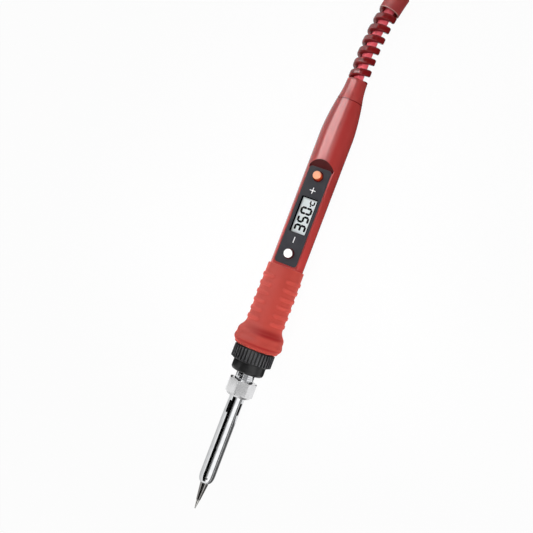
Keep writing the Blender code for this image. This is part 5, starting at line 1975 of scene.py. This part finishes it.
    def plug(self) -> list[Piece]:
        """The flat two-pin plug: moulded body with a ribbed relief, two pins and their sleeves.

        Returns:
            The pieces.
        """
        front = self.plug_rear + self.relief + self.body
        moulding = self.moulding(front)
        apart = self.pin_spacing / 2
        sockets = [shift(front, across, 0) @ self.TO_PINS for across in (apart, -apart)]
        for socket in sockets:
            width = self.pin_radius + self.hole_gap
            hole = rod("hole", width, -self.pin_seat, self.hole_past, self.pin_sides)
            combine(moulding, settle(hole, socket), Join.CUT)
        at_plug = shift(0, self.plug_across, self.plug_height)
        settle(moulding, at_plug)
        made = [self.paints.hang(smooth(moulding, 40), SATIN_PVC, "plug_body")]
        for number, socket in enumerate(sockets, 1):
            made += self.pin(number, at_plug @ socket)
        return made

    def moulding(self, front: float) -> Piece:
        """The plug's body, wide at the pins and drawn in to the relief, with no holes yet.

        Args:
            front: How far along the bench its face stands.

        Returns:
            The body, on the middle line of the iron.
        """
        half, rear, corner = self.width / 2, self.rear_width / 2, self.corner
        shoulder = self.shoulder * self.body
        side = [
            *arc((front - corner, half - corner), corner, 0, 90, 8),
            *[
                (front - shoulder - (self.body - shoulder) * t, rear + (half - rear) * (1 - t**2))
                for t in np.linspace(0.06, 0.94, 12)
            ],
            (front - self.body, rear),
        ]
        outline = side + [(along, -across) for along, across in reversed(side)]
        body = prism("plug_moulding", outline, -self.thickness / 2, self.thickness / 2)
        round_edges(body, self.edge, 5, 60)
        ribbed = self.relief - self.relief_plain
        swell = self.relief_radius - self.relief_tip_radius
        end = self.relief + self.relief_sunk
        profile = [(0, 0), (self.relief_tip_radius - self.relief_round, 0)]
        for share in np.linspace(0, 1, 73):
            cut = self.groove * (0.5 + 0.5 * math.cos(self.grooves * FULL_TURN * share)) ** 2
            girth = self.relief_tip_radius + swell * share - cut
            profile.append((girth, ribbed * share + self.relief_front))
        profile += [(self.relief_radius, end), (0, end)]
        relief = turned("relief", profile, 56)
        settle(relief, shift(self.plug_rear, 0, 0) @ self.TO_PINS)
        combine(body, relief, Join.FUSE)
        return body

    def pin(self, number: int, place: Matrix) -> list[Piece]:
        """A round pin with a domed end, and the insulating sleeve on its rear half.

        Args:
            number: Which pin it is.
            place: Where its foot is and which way it points.

        Returns:
            The pin and the sleeve.
        """
        foot, nose, wide = self.gap - self.pin_seat, self.pin_nose, self.pin_radius
        thin, sleeve_end = wide - self.sleeve_thickness, self.sleeve_length - self.sleeve_end
        profile = [
            (0, foot),
            *stairs(foot, (thin, self.sleeve_length)),
            (wide, self.sleeve_length),
            *arc((wide - nose, self.pin_length - nose), nose, 0, 90, 7),
            (0, self.pin_length),
        ]
        pin = turned(f"pin_{number}", profile, self.pin_sides)
        profile = [
            (thin, foot), (wide, foot), (wide, self.sleeve_length - self.sleeve_thickness),
            (wide - self.sleeve_thickness / 2, sleeve_end), (thin, sleeve_end), (thin, foot),
        ]
        sleeve = turned(f"pin_sleeve_{number}", profile, self.pin_sides)
        return [
            self.paints.hang(smooth(settle(pin, place)), NICKELLED_BRASS, f"plug_pin_{number}"),
            self.paints.hang(smooth(settle(sleeve, place)), CAST_EPOXY),
        ]


@dataclass
class Insides(Assembly):
    """Solids of the frame that keep their shape and only get a finish."""

    finishes: tuple[tuple[Finish, tuple[str, ...]], ...] = (
        (ALUMINA, ("heater_element", "heater_base")),
        (CELL_GLASS, ("lcd_glass",)),
        (CAST_EPOXY, ("contact_strip_left", "contact_strip_right")),
        (CAST_EPOXY, ("plus_plunger", "minus_plunger", "plus_switch", "minus_switch")),
        (SOLDER_RESIST, ("main_board",)),
        (CAST_EPOXY, ("controller_chip", "power_triac")),
        (FILM_CASE, ("film_capacitor",)),
        (SHRUNK_SLEEVE, ("smoothing_capacitor",)),
        (BRAIDED_GLASS, ("heater_lead_1", "heater_lead_2", "sensor_lead_1", "sensor_lead_2")),
        (BROWN_PVC, ("live_lead",)),
        (BLUE_PVC, ("neutral_lead",)),
        (GLASS_NYLON, ("cord_clamp",)),
    )

    def build(self, nodes: dict[str, Piece]) -> None:
        """Paints each solid.

        Args:
            nodes: The solids by name.
        """
        for finish, names in self.finishes:
            for name in names:
                self.paints.paint(nodes[name], finish)
                LOG.info("%s: %s", name, finish.name)


@dataclass
class Studio:
    """The camera, a white sweep, soft lights and the cards that the chrome mirrors."""

    iron: Iron
    lean: float = 14.8
    roll: float = 20.85
    distance: float = 0.385
    aim: float = 0.1258
    shift_right: float = -0.00954
    lens: float = 52
    sensor: float = 36
    nearest: float = 0.01
    slant: Pair = (0.15, 0.75)
    least_light: float = 0.1
    bench_size: float = 6
    bench_white: float = 0.82
    bench_roughness: float = 0.9
    bench_specular: float = 0.1
    bench_glow: float = 0.95
    key_size: float = 0.08
    bench_card_width: float = 0.20
    bench_card_height: float = 0.0005
    baffle_station: float = 0.0729

    def __post_init__(self) -> None:
        """Reads the directions that everything is set up by."""
        lean = math.radians(self.lean)
        up, right = self.iron.way((0, 1, 0)), self.iron.way((-1, 0, 0))
        self.axis = self.iron.way((0, 0, 1))
        self.to_camera = math.cos(lean) * up + math.sin(lean) * right
        self.across = self.axis.cross(self.to_camera)

    def build(self) -> None:
        """Sets up everything outside the object."""
        self.camera()
        self.world()
        self.floor()
        self.lights()
        self.cards()
        bpy.context.scene.view_settings.view_transform = "Standard"

    def camera(self) -> None:
        """The camera, at the photograph's angle and distance."""
        roll = math.radians(self.roll)
        image_right = math.cos(roll) * self.across + math.sin(roll) * self.axis
        image_up = math.cos(roll) * self.axis - math.sin(roll) * self.across
        data = bpy.data.cameras.new("camera")
        data.lens = self.lens
        data.sensor_width = self.sensor
        data.sensor_fit = "HORIZONTAL"
        data.clip_start = self.nearest
        camera = bpy.data.objects.new("camera", data)
        aim = self.iron.at((0, 0, self.aim)) + self.across * self.shift_right
        spot = aim + self.to_camera * self.distance
        camera.matrix_world = placed(spot, image_right, image_up, self.to_camera)
        bpy.context.scene.collection.objects.link(camera)
        bpy.context.scene.camera = camera

    def facing(self, angle: float, distance: float, station: float, aim: float | None = None) -> Matrix:
        """A place beside the axis, turned to look at it, with Y along the axis.

        Args:
            angle: Degrees round the axis from the camera, to the right of the image.
            distance: How far off the axis it is.
            station: How far along the axis it is.
            aim: The station that it looks at, where that isn't its own.

        Returns:
            The place.
        """
        turn = math.radians(angle)
        way = math.cos(turn) * self.to_camera + math.sin(turn) * self.across
        place = self.iron.at((0, 0, station)) + way * distance
        back = (place - self.iron.at((0, 0, station if aim is None else aim))).normalized()
        side = self.axis.cross(back).normalized()
        return placed(place, side, back.cross(side), back)

    def world(self) -> None:
        """Soft light, weaker from past both ends, seen as white by the camera and by mirrors."""
        world = bpy.data.worlds.new("white_room")
        world.use_nodes = True
        tree = world.node_tree
        seen = shown(tree, "Is Camera Ray", "Is Glossy Ray", "Is Transmission Ray")
        ends = {0: add_node(tree, "TexCoord").outputs["Generated"], 1: tuple(self.axis)}
        along = add_node(tree, "VectorMath", ends, operation="DOT_PRODUCT")
        slant = add_node(tree, "Math", {0: along}, operation="ABSOLUTE")
        start, end = self.slant
        fall = {"From Min": start, "From Max": end, "To Min": 1.0, "To Max": self.least_light}
        light = add_node(tree, "MapRange", {"Value": slant, **fall})
        strength = add_node(tree, "MapRange", {"Value": seen, "To Min": light, "To Max": 1.0})
        feed(tree, tree.nodes["Background"], {"Strength": strength, "Color": (1, 1, 1, 1)})
        bpy.context.scene.world = world

    def floor(self) -> None:
        """A white bench, which shows as white and keeps a faint shadow."""
        floor = started("bench", bpy.ops.mesh.primitive_plane_add, size=self.bench_size)
        material = new_material("white_bench")
        tree = material.node_tree
        matt = tree.nodes["Principled BSDF"]
        white = self.bench_white
        feed(tree, matt, {"Base Color": (white, white, white, 1), "Roughness": self.bench_roughness})
        feed(tree, matt, {"Specular IOR Level": self.bench_specular})
        glow = add_node(tree, "Emission", {"Strength": 1.0})
        seen = shown(tree, "Is Camera Ray", "Is Glossy Ray")
        share = add_node(tree, "Math", {0: seen, 1: self.bench_glow}, operation="MULTIPLY")
        mix = add_node(tree, "MixShader", {0: share, 1: matt, 2: glow})
        feed(tree, tree.nodes["Material Output"], {"Surface": mix})
        floor.data.materials.append(material)

    def lights(self) -> None:
        """Four lamps for colour, which no mirror shows, and one for gloss, which mirrors alone show."""
        for name, angle, distance, station, aim, power, spread in (
            ("left_key", -80, 0.25, 0.108, 0.108, 0.0165, 28),
            ("right_key", 62, 0.25, 0.098, 0.098, 0.0155, 24),
            ("front_key", -12, 0.25, -0.15, 0.10, 0.0140, 28),
            ("handle_key", -8, 0.50, 0.19, 0.19, 0.0235, 28),
        ):
            place = self.facing(angle, distance, station, aim)
            key = self.lamp(name, place, self.key_size, self.key_size, power)
            key.data.spread = math.radians(spread)
            key.visible_glossy = False
        strip = self.lamp("strip_lamp", self.facing(-47, 0.70, 0.545), 0.84, 0.61, 9.7)
        strip.visible_diffuse = False

    def cards(self) -> None:
        """The cards that gloss and chrome mirror: round the iron, before the collar and on the bench."""
        for name, angle, distance, station, width, length, grey in (
            ("barrel_left_card", -92, 0.12, -0.069, 0.06, 0.222, 0.80),
            ("barrel_black_card", -37.5, 0.12, -0.067, 0.0946, 0.226, 0.0),
            ("barrel_dark_card", -9.5, 0.12, -0.067, 0.023, 0.226, 0.09),
            ("barrel_pale_card", 2, 0.12, -0.067, 0.025, 0.226, 0.66),
            ("barrel_white_card", 30, 0.14, -0.069, 0.137, 0.222, 1.30),
            ("barrel_grey_card", 65, 0.12, -0.06, 0.042, 0.204, 0.19),
            ("cone_card", 4, 0.116, -0.0575, 0.076, 0.026, 0.0),
            ("nut_card", 8, 0.116, 0.048, 0.12, 0.021, 0.34),
            ("nut_left_card", -90, 0.119, 0.0445, 0.09, 0.017, 1.15),
            ("collar_flag", -70, 0.20, 0.113, 0.40, 0.174, 0.0),
            ("display_flag", -30, 0.25, 0.1775, 0.15, 0.081, 0.0),
            ("right_flag", 58, 0.25, 0.27, 0.48, 0.30, 0.02),
            ("spiral_flag", -12, 0.04, 0.2705, 0.032, 0.054, 0.0),
            ("spiral_card", -73, 0.04, 0.2705, 0.06, 0.054, 1.7),
        ):
            self.card(name, self.facing(angle, distance, station), width, length, grey)
        before_collar = self.facing(-95, 0.027, self.baffle_station) @ rotation(90, "X")
        self.card("collar_baffle", before_collar, 0.06, 0.028, 0.0)
        for name, side, clear, low, high, grey in (
            ("left_barrel_bench", 1, 0.012, -0.18, 0.047, 0.68),
            ("right_barrel_bench", -1, 0.011, -0.18, 0.042, 0.12),
            ("left_collar_bench", 1, 0.009, 0.066, 0.10, 0.0),
            ("right_handle_bench", -1, 0.0045, 0.067, 0.30, 0.05),
        ):
            near, far = self.iron.at((0, 0, low)).x, self.iron.at((0, 0, high)).x
            across = side * (clear + self.bench_card_width / 2)
            place = shift((near + far) / 2, across, self.bench_card_height)
            self.card(name, place, far - near, self.bench_card_width, grey)

    def lamp(self, name: str, place: Matrix, width: float, length: float, power: float) -> Piece:
        """An area lamp.

        Args:
            name: Name of the lamp.
            place: Where it stands and which way it faces.
            width: Its width across the axis.
            length: Its length along the axis.
            power: Its power in watts.

        Returns:
            The lamp.
        """
        data = bpy.data.lights.new(name, "AREA")
        data.shape = "RECTANGLE"
        data.size = width
        data.size_y = length
        data.energy = power
        lamp = bpy.data.objects.new(name, data)
        lamp.matrix_world = place
        bpy.context.scene.collection.objects.link(lamp)
        return lamp

    def card(self, name: str, place: Matrix, width: float, length: float, grey: float) -> None:
        """A card that only mirrors show, as a photographer sets beside bright metal.

        Args:
            name: Name of the card.
            place: Where it stands and which way it faces.
            width: Its width.
            length: Its length.
            grey: How bright it shows.
        """
        card = started(name, bpy.ops.mesh.primitive_plane_add, size=1)
        settle(card, place @ Matrix.Diagonal((width, length, 1, 1)))
        material = new_material(name)
        tree = material.node_tree
        glow = add_node(tree, "Emission", {"Color": (grey, grey, grey, 1)})
        feed(tree, tree.nodes["Material Output"], {"Surface": glow})
        card.data.materials.append(material)
        for ray in ("camera", "diffuse", "shadow", "transmission"):
            setattr(card, f"visible_{ray}", False)


def main() -> None:
    """Builds each sub-assembly in order."""
    logging.basicConfig(level=logging.INFO, format="%(name)s %(message)s")
    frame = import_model()
    for obj in list(bpy.data.objects):
        if obj.name in ("Cube", "Light", "Camera"):
            bpy.data.objects.remove(obj)
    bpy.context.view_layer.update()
    iron = Iron.from_joints(frame["joints"])
    paints = Paintbox(iron)
    Studio(iron).build()
    entry = CableEntry(paints)
    MainsLead(paints, entry).build()
    entry.build()
    for assembly in (Barrel, Nut, Neck, Handle, Grip, Panel):
        assembly(paints).build()
    Insides(paints).build(frame["nodes"])


if __name__ == "__main__":
    main()
